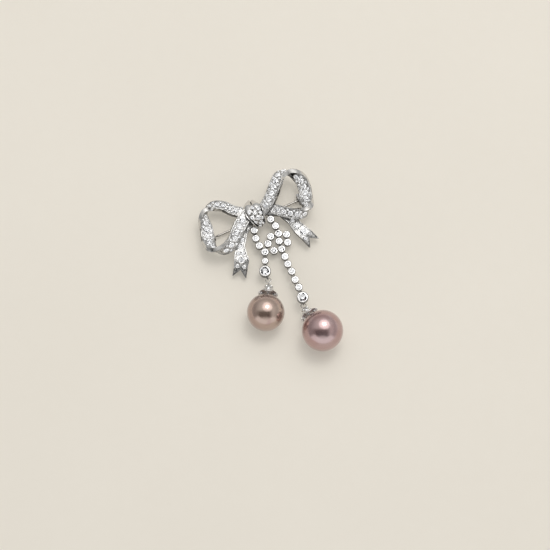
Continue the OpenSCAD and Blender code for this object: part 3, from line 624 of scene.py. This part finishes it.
left_tail_rows = [
    (-0.020, -0.040, 0.58, 0.55, 0), (-0.190, -0.310, 0.54, 0.56, 0), (-0.245, -0.540, 0.55, 0.72, 0),
    (-0.236, -0.700, 0.58, 1.04, 0), (-0.224, -0.760, 0.57, 1.16, 0), (-0.236, -0.860, 0.38, 1.06, 0),
    (-0.258, -0.985, 0.20, 1.08, 0)]
right_tail_rows = [
    (0.200, 0.020, 0.52, 0.45, 0), (0.430, 0.020, 0.45, 0.55, 0), (0.620, -0.105, 0.37, 0.76, 0),
    (0.745, -0.275, 0.50, 0.94, 0), (0.865, -0.375, 0.46, 1.03, 0), (1.000, -0.500, 0.27, 1.03, 0)]
knot_rows = [
    (-0.317, 0.622, -0.735, 0.50, 0), (-0.278, 0.401, -0.403, 0.78, 0), (-0.194, 0.106, -0.095, 0.94, 0),
    (-0.056, -0.207, 0.000, 0.99, 0), (0.111, -0.463, -0.118, 0.82, 0), (0.250, -0.646, -0.403, 0.69, 0),
    (0.333, -0.750, -0.640, 0.46, 0)]


def laid_out(table, reach, rise):
    """Rows of shares as rows of (x, y, z, width) in mm, and the lean in degrees."""
    return [np.array((KNOT[0] + a * reach, KNOT[1] + b * rise, z * LIFT, w * RIBBON_WIDTH, lean), float)
            for a, b, z, w, lean in table]


right_loop_rows = laid_out(right_loop_rows, REACH, RISE)
left_loop_rows = laid_out(left_loop_rows, REACH, -RISE)
left_tail_rows = laid_out(left_tail_rows, LEFT_TAIL, LEFT_TAIL)
right_tail_rows = laid_out(right_tail_rows, RIGHT_TAIL, RIGHT_TAIL)
knot_rows = [np.array((KNOT[0] + a * KNOT_WIDTH, KNOT[1] + b * KNOT_WIDTH, KNOT_LIFT + z * KNOT_WIDTH,
                       w * KNOT_WIDTH, lean), float) for a, b, z, w, lean in knot_rows]
ways = (right_loop_rows, left_loop_rows, left_tail_rows, right_tail_rows, knot_rows)
print("rows of the loops, ends and knot:", [len(rows) for rows in ways])

# %% The line through the rows
Place = namedtuple("Place", "middle across off half lean run")
NEARBY = 0.01


def row_at(rows, s, smooth=True):
    """The row at share s of the way, on a smooth line or on straight ones."""
    last = len(rows) - 1
    i = max(0, min(int(math.floor(s * last)), last - 1))
    t = s * last - i
    b, c = rows[i], rows[i + 1]
    if not smooth:
        return b + (c - b) * t
    a = rows[i - 1] if i > 0 else 2 * rows[0] - rows[1]
    d = rows[i + 2] if i < last - 1 else 2 * rows[last] - rows[last - 1]
    return 0.5 * (2 * b + (c - a) * t + (2 * a - 5 * b + 4 * c - d) * t * t + (3 * b - a - 3 * c + d) * t ** 3)


def ribbon_at(rows, s, smooth=True):
    """The ribbon's middle, its directions across, off the face and along, its half width and its lean."""
    r = row_at(rows, s, smooth)
    run = unit(row_at(rows, min(1, s + NEARBY), smooth)[:3] - row_at(rows, max(0, s - NEARBY), smooth)[:3])
    side = unit(np.array((run[1], -run[0], 0)))
    up = np.cross(side, run)
    lean = math.radians(r[4])
    across = math.cos(lean) * side + math.sin(lean) * up
    return Place(r[:3], across, np.cross(across, run), r[3] / 2, r[4], run)


def on_ribbon(place, a, b):
    """The point a across the ribbon and b off its middle."""
    return place.middle + place.across * a + place.off * b


def path_marks(rows, shares, smooth):
    """How many mm along its way the ribbon is at each share."""
    line = [row_at(rows, s, smooth)[:3] for s in shares]
    return np.concatenate(([0.0], np.cumsum([np.linalg.norm(q - p) for p, q in zip(line, line[1:])])))


for name, rows in (("right loop", right_loop_rows), ("left loop", left_loop_rows)):
    print(name, "is", round(path_marks(rows, np.linspace(0, 1, 101), True)[-1], 1), "mm of ribbon")

# %% [markdown]
# ## The loops
# The ribbon's section is a flat bar with a raised rim on both sides and a channel between them, where the
# stones sit. The goldsmith files and burnishes the rims, so their corners are round. A bevel on the whole mesh
# would round the channel's floor as well; here each corner of the section is cut back and rounded by its own
# radius before it is swept along the ribbon's way. The channel is deep on the face that shows and fades
# where the ribbon turns over.

# %% Rounded section
SHALLOW = 0.06
FRONT_ENDS, BACK_BEGINS, FADE_DEGREES = 100, 88, 22
MOST_OF_SIDE = 0.45


def fade(low, high, share):
    return low + (high - low) * min(1, max(0, share))


def front_depth(lean):
    return fade(SHALLOW, CHANNEL, (FRONT_ENDS - lean) / FADE_DEGREES)


def back_depth(lean):
    return fade(SHALLOW, CHANNEL, (lean - BACK_BEGINS) / FADE_DEGREES)


def rounded(corners, radii, bits=3):
    """A closed outline with rounded corners, each with bits + 1 points."""
    out = []
    n = len(corners)
    for i in range(n):
        p, a, b = (np.array(corners[k % n], float) for k in (i, i - 1, i + 1))
        la, lb = np.linalg.norm(a - p), np.linalg.norm(b - p)
        r = min(radii[i], MOST_OF_SIDE * la, MOST_OF_SIDE * lb)
        s, e = p + (a - p) / la * r, p + (b - p) / lb * r
        for k in range(bits + 1):
            t = k / bits
            out.append((1 - t) ** 2 * s + 2 * t * (1 - t) * p + t * t * e)
    return out


def band_outline(half, front, back):
    """The section from its lower left corner round: side wall, rim, channel, rim, wall, and the same below."""
    h, e, t = half, half - RIM, RIBBON_THICK / 2
    corners = [(-h, -t), (-h, t), (-e, t), (-e, t - front), (e, t - front), (e, t),
               (h, t), (h, -t), (e, -t), (e, back - t), (-e, back - t), (-e, -t)]
    return rounded(corners, [0.16, 0.16, 0.10, 0.03, 0.03, 0.10, 0.16, 0.16, 0.10, 0.03, 0.03, 0.10])


depths = {lean: (round(front_depth(lean), 2), round(back_depth(lean), 2)) for lean in (0, 94, 180)}
print("depth of the channels in mm, front and back, at three leans:", depths)

# %% Rims and walls get their own finish
BAND_CORNERS, CORNER_POINTS = 12, 4
RIM_CORNERS = (1, 5, 7, 11)  # the first corner of each rim
FLAT_CORNERS = (0, 3, 6, 9)  # the first corner of each side wall and channel floor
LOOKS_UP, LOOKS_SIDEWAYS = 0.93, 0.35


def paint_rim_and_flat_shade(made):
    """Rims with a burnish, painted darker in spots as painted shade, and walls and channel floors that look
    straight up made rougher and painted darker, as painted shade over the mirrored lamp.
    """
    made.data.materials.append(edge_shade_gold)
    made.data.materials.append(painted_dim_gold)
    turn = BAND_CORNERS * CORNER_POINTS
    for face in made.data.polygons:
        place = face.index % turn
        if any((place - corner * CORNER_POINTS) % turn < 2 * CORNER_POINTS - 1 for corner in RIM_CORNERS):
            face.material_index = 1
        # painted shade where side walls and channel floors look straight up at the lamp
        elif face.normal.z > LOOKS_UP and place in [(c + 1) * CORNER_POINTS - 1 for c in FLAT_CORNERS]:
            face.material_index = 2


def paint_side_shade(made):
    """The faces that look sideways get the painted shade of the hollows: the same metal, duller and painted
    darker.
    """
    made.data.materials.append(painted_shade_gold)
    for face in made.data.polygons:
        if abs(face.normal.z) < LOOKS_SIDEWAYS:
            face.material_index = len(made.data.materials) - 1


print("the rims are", len(RIM_CORNERS), "of the section's", BAND_CORNERS, "sides")

# %% Both loops, swept
LOOP_STEPS = 200


def swept(places, outlines):
    return strip([[on_ribbon(place, a, b) for a, b in outline] for place, outline in zip(places, outlines)])


for name, rows in (("right_loop", right_loop_rows), ("left_loop", left_loop_rows)):
    places = [ribbon_at(rows, i / LOOP_STEPS) for i in range(LOOP_STEPS + 1)]
    outlines = [band_outline(p.half, front_depth(p.lean), back_depth(p.lean)) for p in places]
    made = piece(name + "_ribbon", *swept(places, outlines), polished)
    paint_rim_and_flat_shade(made)
    paint_side_shade(made)
    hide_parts("bow_frame")
    print(name, "ribbon:", len(made.data.polygons), "faces")

# %% [markdown]
# ## The ribbon ends
# Each end is creased like folded silk and cut in a swallow tail. The cut could be sawn with a boolean; here it
# is made by pulling the last rows of the sweep back in a V, so the channel and its plain rim follow the cut by
# themselves. The last ring is drawn together onto the middle of the thickness, which closes the end along the
# whole V.

# %% Ends with creases and swallow tails
TAIL_THICK, TAIL_CHANNEL, NOTCH, NOTCH_WIDE = 1.25, CHANNEL - 0.15, 2.2, 0.92
CREASE_STATIONS = (0.03, 0.25, 0.5, 0.75, 0.97)
END_ROUND = 0.06


def notch_cut(rows, s, a, half):
    """How far the swallow tail pulls a place of the last fold back."""
    last = len(rows) - 1
    return NOTCH * max(0, 1 - abs(a) / (NOTCH_WIDE * half)) * min(1, max(0, s * last - (last - 1)))


def tail_outline(half, channel):
    """A bar with a rim on both sides of one channel, with thirteen points across it to follow the V."""
    h, e, t = half, half - RIM, TAIL_THICK / 2
    across = [k / 6 * (e - 0.03) for k in range(-6, 7)]
    corners = ([(-h, -t), (-h, t), (-e, t)] + [(a, t - channel) for a in across]
               + [(e, t), (h, t), (h, -t)] + [(a, -t) for a in reversed(across)])
    return rounded(corners, [0.12, 0.12, 0.08] + [0.02] * 13 + [0.08, 0.12, 0.12] + [0.02] * 13, 2)


def tail(name, rows):
    """One ribbon end; the channel runs out before the cut and leaves a rim along it."""
    last = len(rows) - 1
    rim = RIM / np.linalg.norm(rows[last][:3] - rows[last - 1][:3])
    stations = [(0.0, TAIL_CHANNEL)]
    stations += [((i + t) / last, TAIL_CHANNEL) for i in range(last) for t in CREASE_STATIONS
                 if i + t < last - rim - 0.12]
    stations += [(1 - (rim + 0.05) / last, TAIL_CHANNEL), (1 - rim / last, 0.01), (1 - 0.5 * rim / last, 0.0),
                 (1.0, 0.0)]
    rings = []
    for s, channel in stations:
        p = ribbon_at(rows, s, False)
        outline = tail_outline(p.half, channel)
        rings.append([on_ribbon(p, a, b) - p.run * notch_cut(rows, s, a, p.half) for a, b in outline])
    for share in (0.75, 0.0):
        rings.append([on_ribbon(p, a, b * share) + p.run * (END_ROUND - notch_cut(rows, s, a, p.half))
                      for a, b in outline])
    points, faces = strip(rings, caps=False)
    faces.append(tuple(range(len(outline))))
    # the ends take the rims' painted shade all over
    made = piece(name + "_ribbon", points, faces, edge_shade_gold, crisp=30, weld=0.0005)
    paint_side_shade(made)
    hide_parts("bow_frame")
    print(name, "ribbon:", len(made.data.polygons), "faces")


tail("left_tail", left_tail_rows)
tail("right_tail", right_tail_rows)

# %% [markdown]
# ## The knot
# The wrap that holds the bow together bulges between two raised rims, like silk that is drawn tight: at the top
# it is gathered in one deep pleat between two smooth lobes, and below it runs out in flutes. Simulated cloth
# could be gathered like this, but the real wrap is metal with clean even folds. So it is swept like the
# loops, with a crowned section that changes on the way. A plain post under it stands for the solder block.

# %% Knot wrap
KNOT_STEPS = 90
KNOT_ACROSS = 14
KNOT_BULGE, KNOT_SINK = 0.9, 0.62
LOBES_END, FLUTES_BEGIN, FLUTE_HEIGHT = 0.40, 0.76, 0.20
SKIRT = -1.3


def knot_outline(half, s):
    """A crowned section: two smooth lobes with a pleat at the top end, three flutes at the bottom end."""
    lobes = fade(0, 1, (LOBES_END - s) / 0.14)
    flutes = fade(0, 1, (s - FLUTES_BEGIN) / 0.12)
    h = half * (1.06 + 0.20 * lobes)
    e = h - RIM
    crown = []
    for k in range(-KNOT_ACROSS, KNOT_ACROSS + 1):
        a = k / KNOT_ACROSS
        plain = -KNOT_SINK + KNOT_BULGE * (1 - a * a)
        lobed = -0.30 + 0.55 * math.sqrt(1 - a * a) + 0.75 * math.sqrt(max(0, 1 - (2 * abs(a) - 1) ** 2))
        fluted = plain + FLUTE_HEIGHT * math.cos(2 * math.pi * 1.6 * a) - 0.10
        crown.append((a * (e - 0.02), plain + lobes * (lobed - plain) + flutes * (fluted - plain)))
    edge = -0.42 * lobes
    corners = [(-h, SKIRT), (-h, edge), (-e, edge)] + crown + [(e, edge), (h, edge), (h, SKIRT)]
    return rounded(corners, [0.1, 0.15, 0.1] + [0.04] * len(crown) + [0.1, 0.15, 0.1], 2)


places = [ribbon_at(knot_rows, i / KNOT_STEPS) for i in range(KNOT_STEPS + 1)]
outlines = [knot_outline(p.half, i / KNOT_STEPS) for i, p in enumerate(places)]
knot = piece("knot_wrap", *swept(places, outlines), polished)
paint_side_shade(knot)
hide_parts("bow_frame")
print("knot wrap:", len(knot.data.polygons), "faces")


# %% The post under the knot, turned on a lathe
def lathe(profile, at, axis, start, turns=48):
    """A profile of (radius, height) turned round an axis; start is any direction across it."""
    axis, across = unit(np.array(axis, float)), np.array(start, float)
    across = unit(across - axis * (across @ axis))
    other = np.cross(axis, across)
    rings = [[at + r * (math.cos(t) * across + math.sin(t) * other) + h * axis
              for t in (2 * math.pi * k / turns for k in range(turns))] for r, h in profile]
    return strip(rings, caps=False)


post_profile = [(0.0, 2.7), (2.0, 2.7), (2.1, 2.8), (2.1, 6.2), (0.0, 6.3)]
turned = lathe(post_profile, np.array((*KNOT, 0)), (0, 0, 1), (1, 0, 0))
# painted shade: the post under the knot takes the dark copy of the metal
post = piece("knot_post", *turned, painted_shade_gold, weld=0.001)
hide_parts("bow_frame")
print("post:", len(post.data.polygons), "faces")

# %% [markdown]
# ## The pave bed
# Between the rims the setter leaves a plate of metal just under the girdles, drills it for every stone and
# raises small grains that hold the stones at their corners. Drilling a solid plate with some hundred booleans
# would be slow and could fail. So the plate is a fine grid that follows the ribbon, with the squares under the
# stones left out; a bright-cut seat round each hole hides the steps of the grid, and a row of small beads
# runs along each rim.

# %% The bed
BED_SAMPLES, BED_ACROSS, BED_DROP, GRID = 400, 22, 0.16, 0.14
UNDER_RIM, HOLE_SHARE = 0.03, 0.97
BEAD, BEAD_EVERY = 0.13, 3


def bed(rows, start, end, face, depth_of, thick, smooth, holes):
    """The plate between the rims, with the stones' holes left out, and the beads beside it."""
    samples = [start + (end - start) * i / BED_SAMPLES for i in range(BED_SAMPLES + 1)]
    marks = path_marks(rows, samples, smooth)
    count = max(2, int(marks[-1] / GRID))
    centres = np.array([hole[0] for hole in holes])
    reaches = np.array([hole[3] for hole in holes])
    rings, beads = [], []
    for i, s in enumerate(np.interp(np.linspace(0, marks[-1], count + 1), marks, samples)):
        p = ribbon_at(rows, float(s), smooth)
        e = p.half - RIM + UNDER_RIM
        drop = max(0.02, min(BED_DROP, depth_of(p.lean) - 0.03))

        def spot(a):
            pulled = 0 if smooth else notch_cut(rows, s, a, p.half)
            return on_ribbon(p, face * a, face * (thick / 2 - drop)) - p.run * pulled

        rings.append([spot(-e + 2 * e * k / BED_ACROSS) for k in range(BED_ACROSS + 1)])
        if i % BEAD_EVERY == 1 and drop > 0.1:
            for side in (-1, 1):
                at = spot(side * (e - BEAD - UNDER_RIM))
                if np.all(np.linalg.norm(centres - at, axis=1) > reaches + 0.6 * BEAD):
                    beads.append((at, face * p.off, BEAD))
    points = [p for ring in rings for p in ring]
    n = BED_ACROSS + 1
    faces = []
    for first in (i * n + j for i in range(len(rings) - 1) for j in range(BED_ACROSS)):
        square = (first, first + 1, first + n + 1, first + n)
        middle = sum(points[q] for q in square) / 4
        if np.all(np.linalg.norm(centres - middle, axis=1) >= reaches * HOLE_SHARE):
            faces.append(square)
    return (points, faces), beads


print("a bed is", BED_ACROSS, "squares wide, and each is", GRID, "mm long")

# %% Seats and grains
NEAR_STONES, SAME_FACE, LARGE_STONE = 0.5, 0.6, 0.6


def collar(hole, drop, deep):
    """The bright-cut edge of a hole and the cup under it."""
    centre, off, along, radius = hole
    profile = [(radius + 0.12, -drop - 0.02), (radius + 0.03, -drop + 0.06), (radius - 0.01, -drop + 0.05),
               (radius - 0.02, -drop - 0.05), (0.55 * radius, -deep)]
    return lathe(profile, centre, off, along, 24)


def bead(at, off, radius):
    """A grain: a small dome of metal."""
    side = unit(np.cross(off, (0.3, 0.9, 0.2)))
    profile = [(radius, -0.14), (radius, 0.02), (0.86 * radius, 0.55 * radius), (0.5 * radius, 0.88 * radius),
               (0.0, radius)]
    return lathe(profile, at, off, side, 10)


def grains_round(holes, size, drop):
    """A grain in the gap between neighbouring stones, and two between large ones."""
    beads = []
    for i, (c, off, _, r) in enumerate(holes):
        for d, off2, _, r2 in holes[i + 1:]:
            gap = np.linalg.norm(d - c) - r - r2
            if gap < NEAR_STONES and off @ off2 > SAME_FACE:
                towards = unit(d - c)
                middle = c + towards * (r + gap / 2)
                normal = unit(off + off2)
                side = np.cross(normal, towards)
                spread = 0.30 * min(r, r2)
                for k in (-1, 1) if min(r, r2) > LARGE_STONE else (0,):
                    beads.append((middle + side * spread * k - normal * drop * 0.4, normal, size))
    return beads


print("grains between the knot's stones:", len(grains_round(stones["knot_stones"], BEAD, 0.0)))

# %% Pave for the loops, the ends and the knot
PAVE_DROP, PAVE_DEEP, PAVE_GRAIN = 0.14, 0.60, 0.15
KNOT_DROP, KNOT_DEEP, KNOT_GRAIN = 0.10, 0.45, 0.14
RIGHT_RUNS = [(0.02, 0.40, 1, front_depth), (0.395, 0.70, -1, back_depth), (0.68, 0.99, 1, front_depth)]
LEFT_RUNS = [(0.02, 0.41, 1, front_depth), (0.40, 0.74, -1, back_depth), (0.71, 0.99, 1, front_depth)]
TAIL_RUNS = [(0.02, 0.966, 1, lambda lean: TAIL_CHANNEL)]


def pave(name, rows, runs, thick, smooth):
    """Bed, seats and grains for all the stones of one node; each run is a stretch of one face."""
    holes = stones[name + "_stones"]
    beds = [bed(rows, *run, thick, smooth, holes) for run in runs]
    metal_parts(name + "_bed", [plate for plate, _ in beds], ground, crisp=30)
    metal_parts(name + "_seats", [collar(hole, PAVE_DROP, PAVE_DEEP) for hole in holes], bright_cut, crisp=30)
    grains = grains_round(holes, PAVE_GRAIN, PAVE_DROP) + [grain for _, beads in beds for grain in beads]
    metal_parts(name + "_grains", [bead(*grain) for grain in grains], polished, weld=0.0005)


pave("right_loop", right_loop_rows, RIGHT_RUNS, RIBBON_THICK, True)
pave("left_loop", left_loop_rows, LEFT_RUNS, RIBBON_THICK, True)
pave("left_tail", left_tail_rows, TAIL_RUNS, TAIL_THICK, False)
pave("right_tail", right_tail_rows, TAIL_RUNS, TAIL_THICK, False)
knot_holes = stones["knot_stones"]
metal_parts("knot_seats", [collar(hole, KNOT_DROP, KNOT_DEEP) for hole in knot_holes], bright_cut, crisp=30)
metal_parts("knot_grains", [bead(*grain) for grain in grains_round(knot_holes, KNOT_GRAIN, 0.0)], polished,
            weld=0.0005)

# %% [markdown]
# ## Collets
# Each stone of the strands sits in its own collet, a little cup of white gold. The cup is the solid
# model's; what it lacks is the rubbed-over edge that the setter burnishes down on the girdle. The whole cup
# could be made again with it, but a thin rolled lip is enough, which closes the gap between cup and stone.

# %% Rubbed-over lips, and the seats on the caps
IN_COLLETS = ("chain_knot_stones", "strand_a_stones", "strand_b_stones", "small_stone", "left_big_stone",
              "right_big_stone")
ON_CAPS = ("left_cap_stones", "right_cap_stones")


def lip(centre, off, along, radius):
    """The rolled edge of one collet, a little wider on a wider stone."""
    w = 0.13 + 0.02 * radius
    profile = [(radius + w + 0.03, 0.04), (radius + w, 0.12), (radius + 0.9 * w, 0.145),
               (radius + 0.1 * w, 0.15), (radius - 0.05, 0.09), (radius - 0.03, -0.03), (radius + w, -0.05)]
    return lathe(profile, centre, off, along, 40)


metal_parts("collet_lips", [lip(*hole) for node in IN_COLLETS for hole in stones[node]], bright_cut)
metal_parts("cap_seats", [collar(hole, 0.02, 0.4) for node in ON_CAPS for hole in stones[node]], bright_cut)

# %% [markdown]
# ## Necks and millegrain of the caps
# Above the petals each cap is drawn in to a fluted neck, and the edge of every petal is run with a row of
# tiny grains. The flutes could be soldered wires; they are turned here as one piece whose radius swings in and
# out. The caps' stones show where each cap stands and which way it looks.

# %% Fluted necks
FLUTES, FLUTE_DEPTH, NECK_TURNS = 8, 0.13, 72
ROWS_APART = 0.29


def cap_of(side_name):
    """The pearl's centre and radius, the cap's axis and height, and its stones' places from the centre."""
    low, high = (np.array(corner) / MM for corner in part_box(side_name + "_pearl"))
    centre, radius = (low + high) / 2, (high[0] - low[0]) / 2
    spots = [hole[0] - centre for hole in stones[side_name + "_cap_stones"]]
    axis = unit(sum(spots))
    bell = (max(p @ axis for p in spots) - min(p @ axis for p in spots)) / ROWS_APART
    print(side_name, "cap: bell", round(bell, 2), "mm high")
    return centre, radius, axis, bell, spots


def neck(centre, radius, axis, bell, spots):
    """A neck whose radius swings in and out eight times on the way round."""
    top = radius + bell
    across = unit(spots[0] - axis * (spots[0] @ axis))
    side = np.cross(axis, across)
    profile = [(0.9, top - 0.55), (1.12, top - 0.35), (1.20, top - 0.05), (1.05, top + 0.22),
               (0.66, top + 0.38), (0.40, top + 0.42)]
    rings = []
    for r, h in profile:
        rings.append([])
        for t in (2 * math.pi * k / NECK_TURNS for k in range(NECK_TURNS)):
            out = math.cos(t) * across + math.sin(t) * side
            rings[-1].append(centre + r * (1 + FLUTE_DEPTH * math.cos(FLUTES * t)) * out + h * axis)
    return strip(rings, caps=False)


caps = [cap_of(side_name) for side_name in ("left", "right")]
metal_parts("cap_necks", [neck(*cap) for cap in caps], polished, weld=0.0005)

# %% Grains on the petals' edges
CAP_RADIUS, GRAIN_STEP, EDGE_GRAIN = 2.85, 0.125, 0.17


def millegrain(centre, radius, axis, bell, spots):
    """Seven grains along the edge of each petal."""
    grains = []
    for spot in {tuple(np.round(unit(p - axis * (p @ axis)), 2)) for p in spots}:
        petal = unit(np.array(spot))
        beside = np.cross(axis, petal)
        for step in range(-3, 4):
            out = math.cos(step * GRAIN_STEP) * petal + math.sin(step * GRAIN_STEP) * beside
            at = centre + axis * (radius + 0.20 * bell) + out * (CAP_RADIUS - 0.03)
            grains.append(bead(at, unit(out + 0.6 * axis), EDGE_GRAIN))
    return grains


metal_parts("cap_millegrain", [grain for cap in caps for grain in millegrain(*cap)], bright_cut, weld=0.0005)

# %% [markdown]
# ## Carried-over metal
# The collets, jump rings, caps, pin and rivet of the solid model already have their true shapes, and making
# them again would add nothing. They only take a finish: painted shade for the walls of the collets and for the
# strands' knot, soft for the caps, satin with a little painted shade for the pin and polished for the rest.

# %% Finish for the solid model's own metal
# the pin's finish is satin with a little painted shade
OWN_FINISH = {"pin_stem": satin_and_shade_gold, "left_cap": soft_polished, "right_cap": soft_polished, "chain_knot": painted_shade_gold}
carried = {}
for name, node in frame["nodes"].items():
    if name in STONE_NODES or name == "bow_frame" or name.endswith("_pearl"):
        continue
    # the collets' walls and the strands' knot take painted shade
    finish = painted_shade_gold if "collet" in name else OWN_FINISH.get(name, polished)
    for held in node.material_slots:
        held.material = finish
    carried[finish.name] = carried.get(finish.name, 0) + 1
print("carried over:", carried)

# %% [markdown]
# ## Pearls
# A pearl is never a perfect ball. A displacement texture could dent it; here each is a fine ball whose surface
# is moved by a slow wave of a few hundredths of a millimetre, so that the highlight and the mirror image of the
# room bend slightly and the size stays known.

# %% Pearls
WAVES, SWELL = 7, 0.02


def pearl(node, material, seed):
    """A ball of the solid pearl's size, with the sum of seven slow waves on it."""
    low, high = (np.array(corner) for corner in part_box(node))
    centre, radius = (low + high) / 2 / MM, (high[0] - low[0]) / 2 / MM
    b = bmesh.new()
    bmesh.ops.create_icosphere(b, subdivisions=6, radius=1.0)
    rng = random.Random(seed)
    waves = [(Vector([rng.uniform(-1, 1) for _ in range(3)]).normalized(), rng.uniform(1.5, 3.5),
              rng.uniform(0, 6)) for _ in range(WAVES)]
    points = []
    for v in b.verts:
        swell = sum(math.sin(f * (v.co @ d) + p) for d, f, p in waves) / WAVES
        points.append(centre + np.array(v.co) * (radius - SWELL + SWELL * swell))
    faces = [tuple(v.index for v in f.verts) for f in b.faces]
    b.free()
    made = piece(node + "_nacre", points, faces, material)
    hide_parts(node)
    print(node, "is", round(2 * radius, 2), "mm across, with", len(faces), "faces")


pearl("left_pearl", bronze_nacre, 3)
pearl("right_pearl", mauve_nacre, 5)

# %% [markdown]
# ## Pin fittings
# Behind the bow, two ears under the right loop hold the pin's rivet and a hook under the left loop catches its
# point. They could be bent from strip; a maker of brooches saws them from plate and softens the edges, and so
# they are outlines here that are given a thickness.

# %% Ears, block and catch
PIN_Z, PIN_LENGTH, PIN_BORE = 1.15, 29.54, 0.39
EAR, EAR_IN, EAR_HALF, CATCH, HOOK_HALF = 0.7, 0.7, 1.1, 1.2, 0.8
RIBBON_OVER_HINGE, RIBBON_OVER_CATCH = 4.092, 4.127
EAR_TOP, HOOK_TOP = RIBBON_OVER_HINGE - PIN_Z - 0.6, RIBBON_OVER_CATCH - PIN_Z - 0.65
EDGE = 0.06
hinge = np.array((9.474, 20.069, PIN_Z))
pin_way = np.array((-0.908669, -0.417518, 0.0))
pin_side = np.array((0.417518, -0.908669, 0.0))
up = np.array((0.0, 0.0, 1.0))


def plate_from(outline, at, x_way, y_way, z_way, low, high):
    """A flat plate sawn to an outline, with a soft edge."""
    outline = [np.array(p) for p in outline]
    middle = sum(outline) / len(outline)
    rings = []
    for inset, z in ((EDGE, low), (0.0, low + EDGE), (0.0, high - EDGE), (EDGE, high)):
        inner = [middle + (p - middle) * (1 - inset) for p in outline]
        rings.append([at + x_way * p[0] + y_way * p[1] + z_way * z for p in inner])
    return strip(rings)


def arc(radius, start, end, bits):
    """Points on a circle from one angle to another."""
    angles = [math.radians(start + (end - start) * k / bits) for k in range(bits + 1)]
    return [(radius * math.cos(a), radius * math.sin(a)) for a in angles]


ear = arc(PIN_Z, 180, 360, 20) + [(EAR_HALF, 1.3), (EAR_HALF, EAR_TOP), (-EAR_HALF, EAR_TOP), (-EAR_HALF, 1.3)]
block = [(-EAR_HALF, 1.25), (EAR_HALF, 1.25), (EAR_HALF, EAR_TOP), (-EAR_HALF, EAR_TOP)]
shank = [(HOOK_HALF, 1.2), (HOOK_HALF, HOOK_TOP), (-HOOK_HALF, HOOK_TOP), (-HOOK_HALF, 1.2)]
hook = arc(PIN_Z, 284, 435, 24) + shank + arc(PIN_Z, 105, 256, 24) + arc(PIN_BORE, 222, -42, 24)
fittings = [plate_from(ear, hinge, pin_way, up, pin_side, EAR_IN, EAR_IN + EAR),
            plate_from(ear, hinge, pin_way, up, pin_side, -EAR_IN - EAR, -EAR_IN),
            plate_from(block, hinge, pin_way, up, pin_side, -EAR_IN - 0.1, EAR_IN + 0.1),
            plate_from(hook, hinge + pin_way * PIN_LENGTH, pin_side, up, pin_way, -CATCH / 2, CATCH / 2)]
# painted shade: the fittings under the bow take the dark copy of the metal
fittings = piece("pin_fittings", *joined(fittings), painted_shade_gold)
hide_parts("bow_frame")
print("fittings:", len(fittings.data.polygons), "faces")

# %% [markdown]
# ## The frame's two eyes
# Under the knot and the right loop the frame has a small upright ring on a stalk for each strand to hang from.
# A torus from the menu would do for the ring; it is swept here, so it faces along its own strand and joins its
# stalk.

# %% Two eyes
CHAIN_SPREAD, CHAIN_LENGTH, CHAIN_LIFT = 20.0, 30.0, 4.0
EYE_RADIUS, EYE_WIRE, STALK_WIRE, STALK_TOP = 0.38, 0.13, 0.17, 1.0


def chain_at(across, fall, lift):
    """A place on a strand, in shares of the strands' own size."""
    return np.array((KNOT[0] + across * CHAIN_SPREAD, KNOT[1] - fall * CHAIN_LENGTH, lift * CHAIN_LIFT))


def eye(at, towards):
    """An upright ring that faces along its strand, with a stalk up to the frame."""
    way = towards - at
    way = unit(np.array((way[0], way[1], 0)))
    side = np.array((-way[1], way[0], 0))
    rings = []
    for k in range(32):
        t = 2 * math.pi * k / 32
        out = math.cos(t) * way + math.sin(t) * up
        rings.append([at + out * (EYE_RADIUS + EYE_WIRE * math.cos(u)) + side * EYE_WIRE * math.sin(u)
                      for u in (2 * math.pi * j / 12 for j in range(12))])
    ring = strip(rings + [rings[0]], caps=False)
    return joined([ring, lathe([(STALK_WIRE, 0.36), (STALK_WIRE, STALK_TOP)], at, up, way, 16)])


eyes = piece("frame_eyes", *joined([eye(chain_at(-0.060, 0.113, 0.61), chain_at(-0.029, 0.180, 0.55)),
                                    eye(chain_at(0.170, 0.005, 0.62), chain_at(0.220, 0.062, 0.53))]),
             polished, weld=0.0005)
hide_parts("bow_frame")
print("eyes:", len(eyes.data.polygons), "faces")

# %% [markdown]
# ## The table top
# A plain pale surface, wide enough to fill every view. Plain paper would let the shadows under the bow go dark,
# so it is opal paper over a faint light, as on a jeweller's light table, and they stay pale.

# %% Table top
TABLE_HALF = 2
square = [(-TABLE_HALF, -TABLE_HALF, 0), (TABLE_HALF, -TABLE_HALF, 0), (TABLE_HALF, TABLE_HALF, 0),
          (-TABLE_HALF, TABLE_HALF, 0)]
floor_data = bpy.data.meshes.new("table_top")
floor_data.from_pydata(square, [], [(0, 1, 2, 3)])
table_top = bpy.data.objects.new("table_top", floor_data)
bpy.context.scene.collection.objects.link(table_top)
paper = Finish("cream_paper")
cream = paper.colours(paper.grain(12.0, 4.0), [(0.3, (0.58, 0.545, 0.485)), (0.7, (0.60, 0.565, 0.505))])
paper.drive("Base Color", cream)
paper.set(Emission_Color=(0.98, 0.93, 0.83, 1.0), Emission_Strength=0.24)
paper.drive("Roughness", paper.between(paper.grain(300.0), 0.75, 0.9))
paper.bump(paper.grain(1500.0), 0.02)
floor_data.materials.append(paper.material)
print("table top:", 2 * TABLE_HALF, "m wide, at height 0")
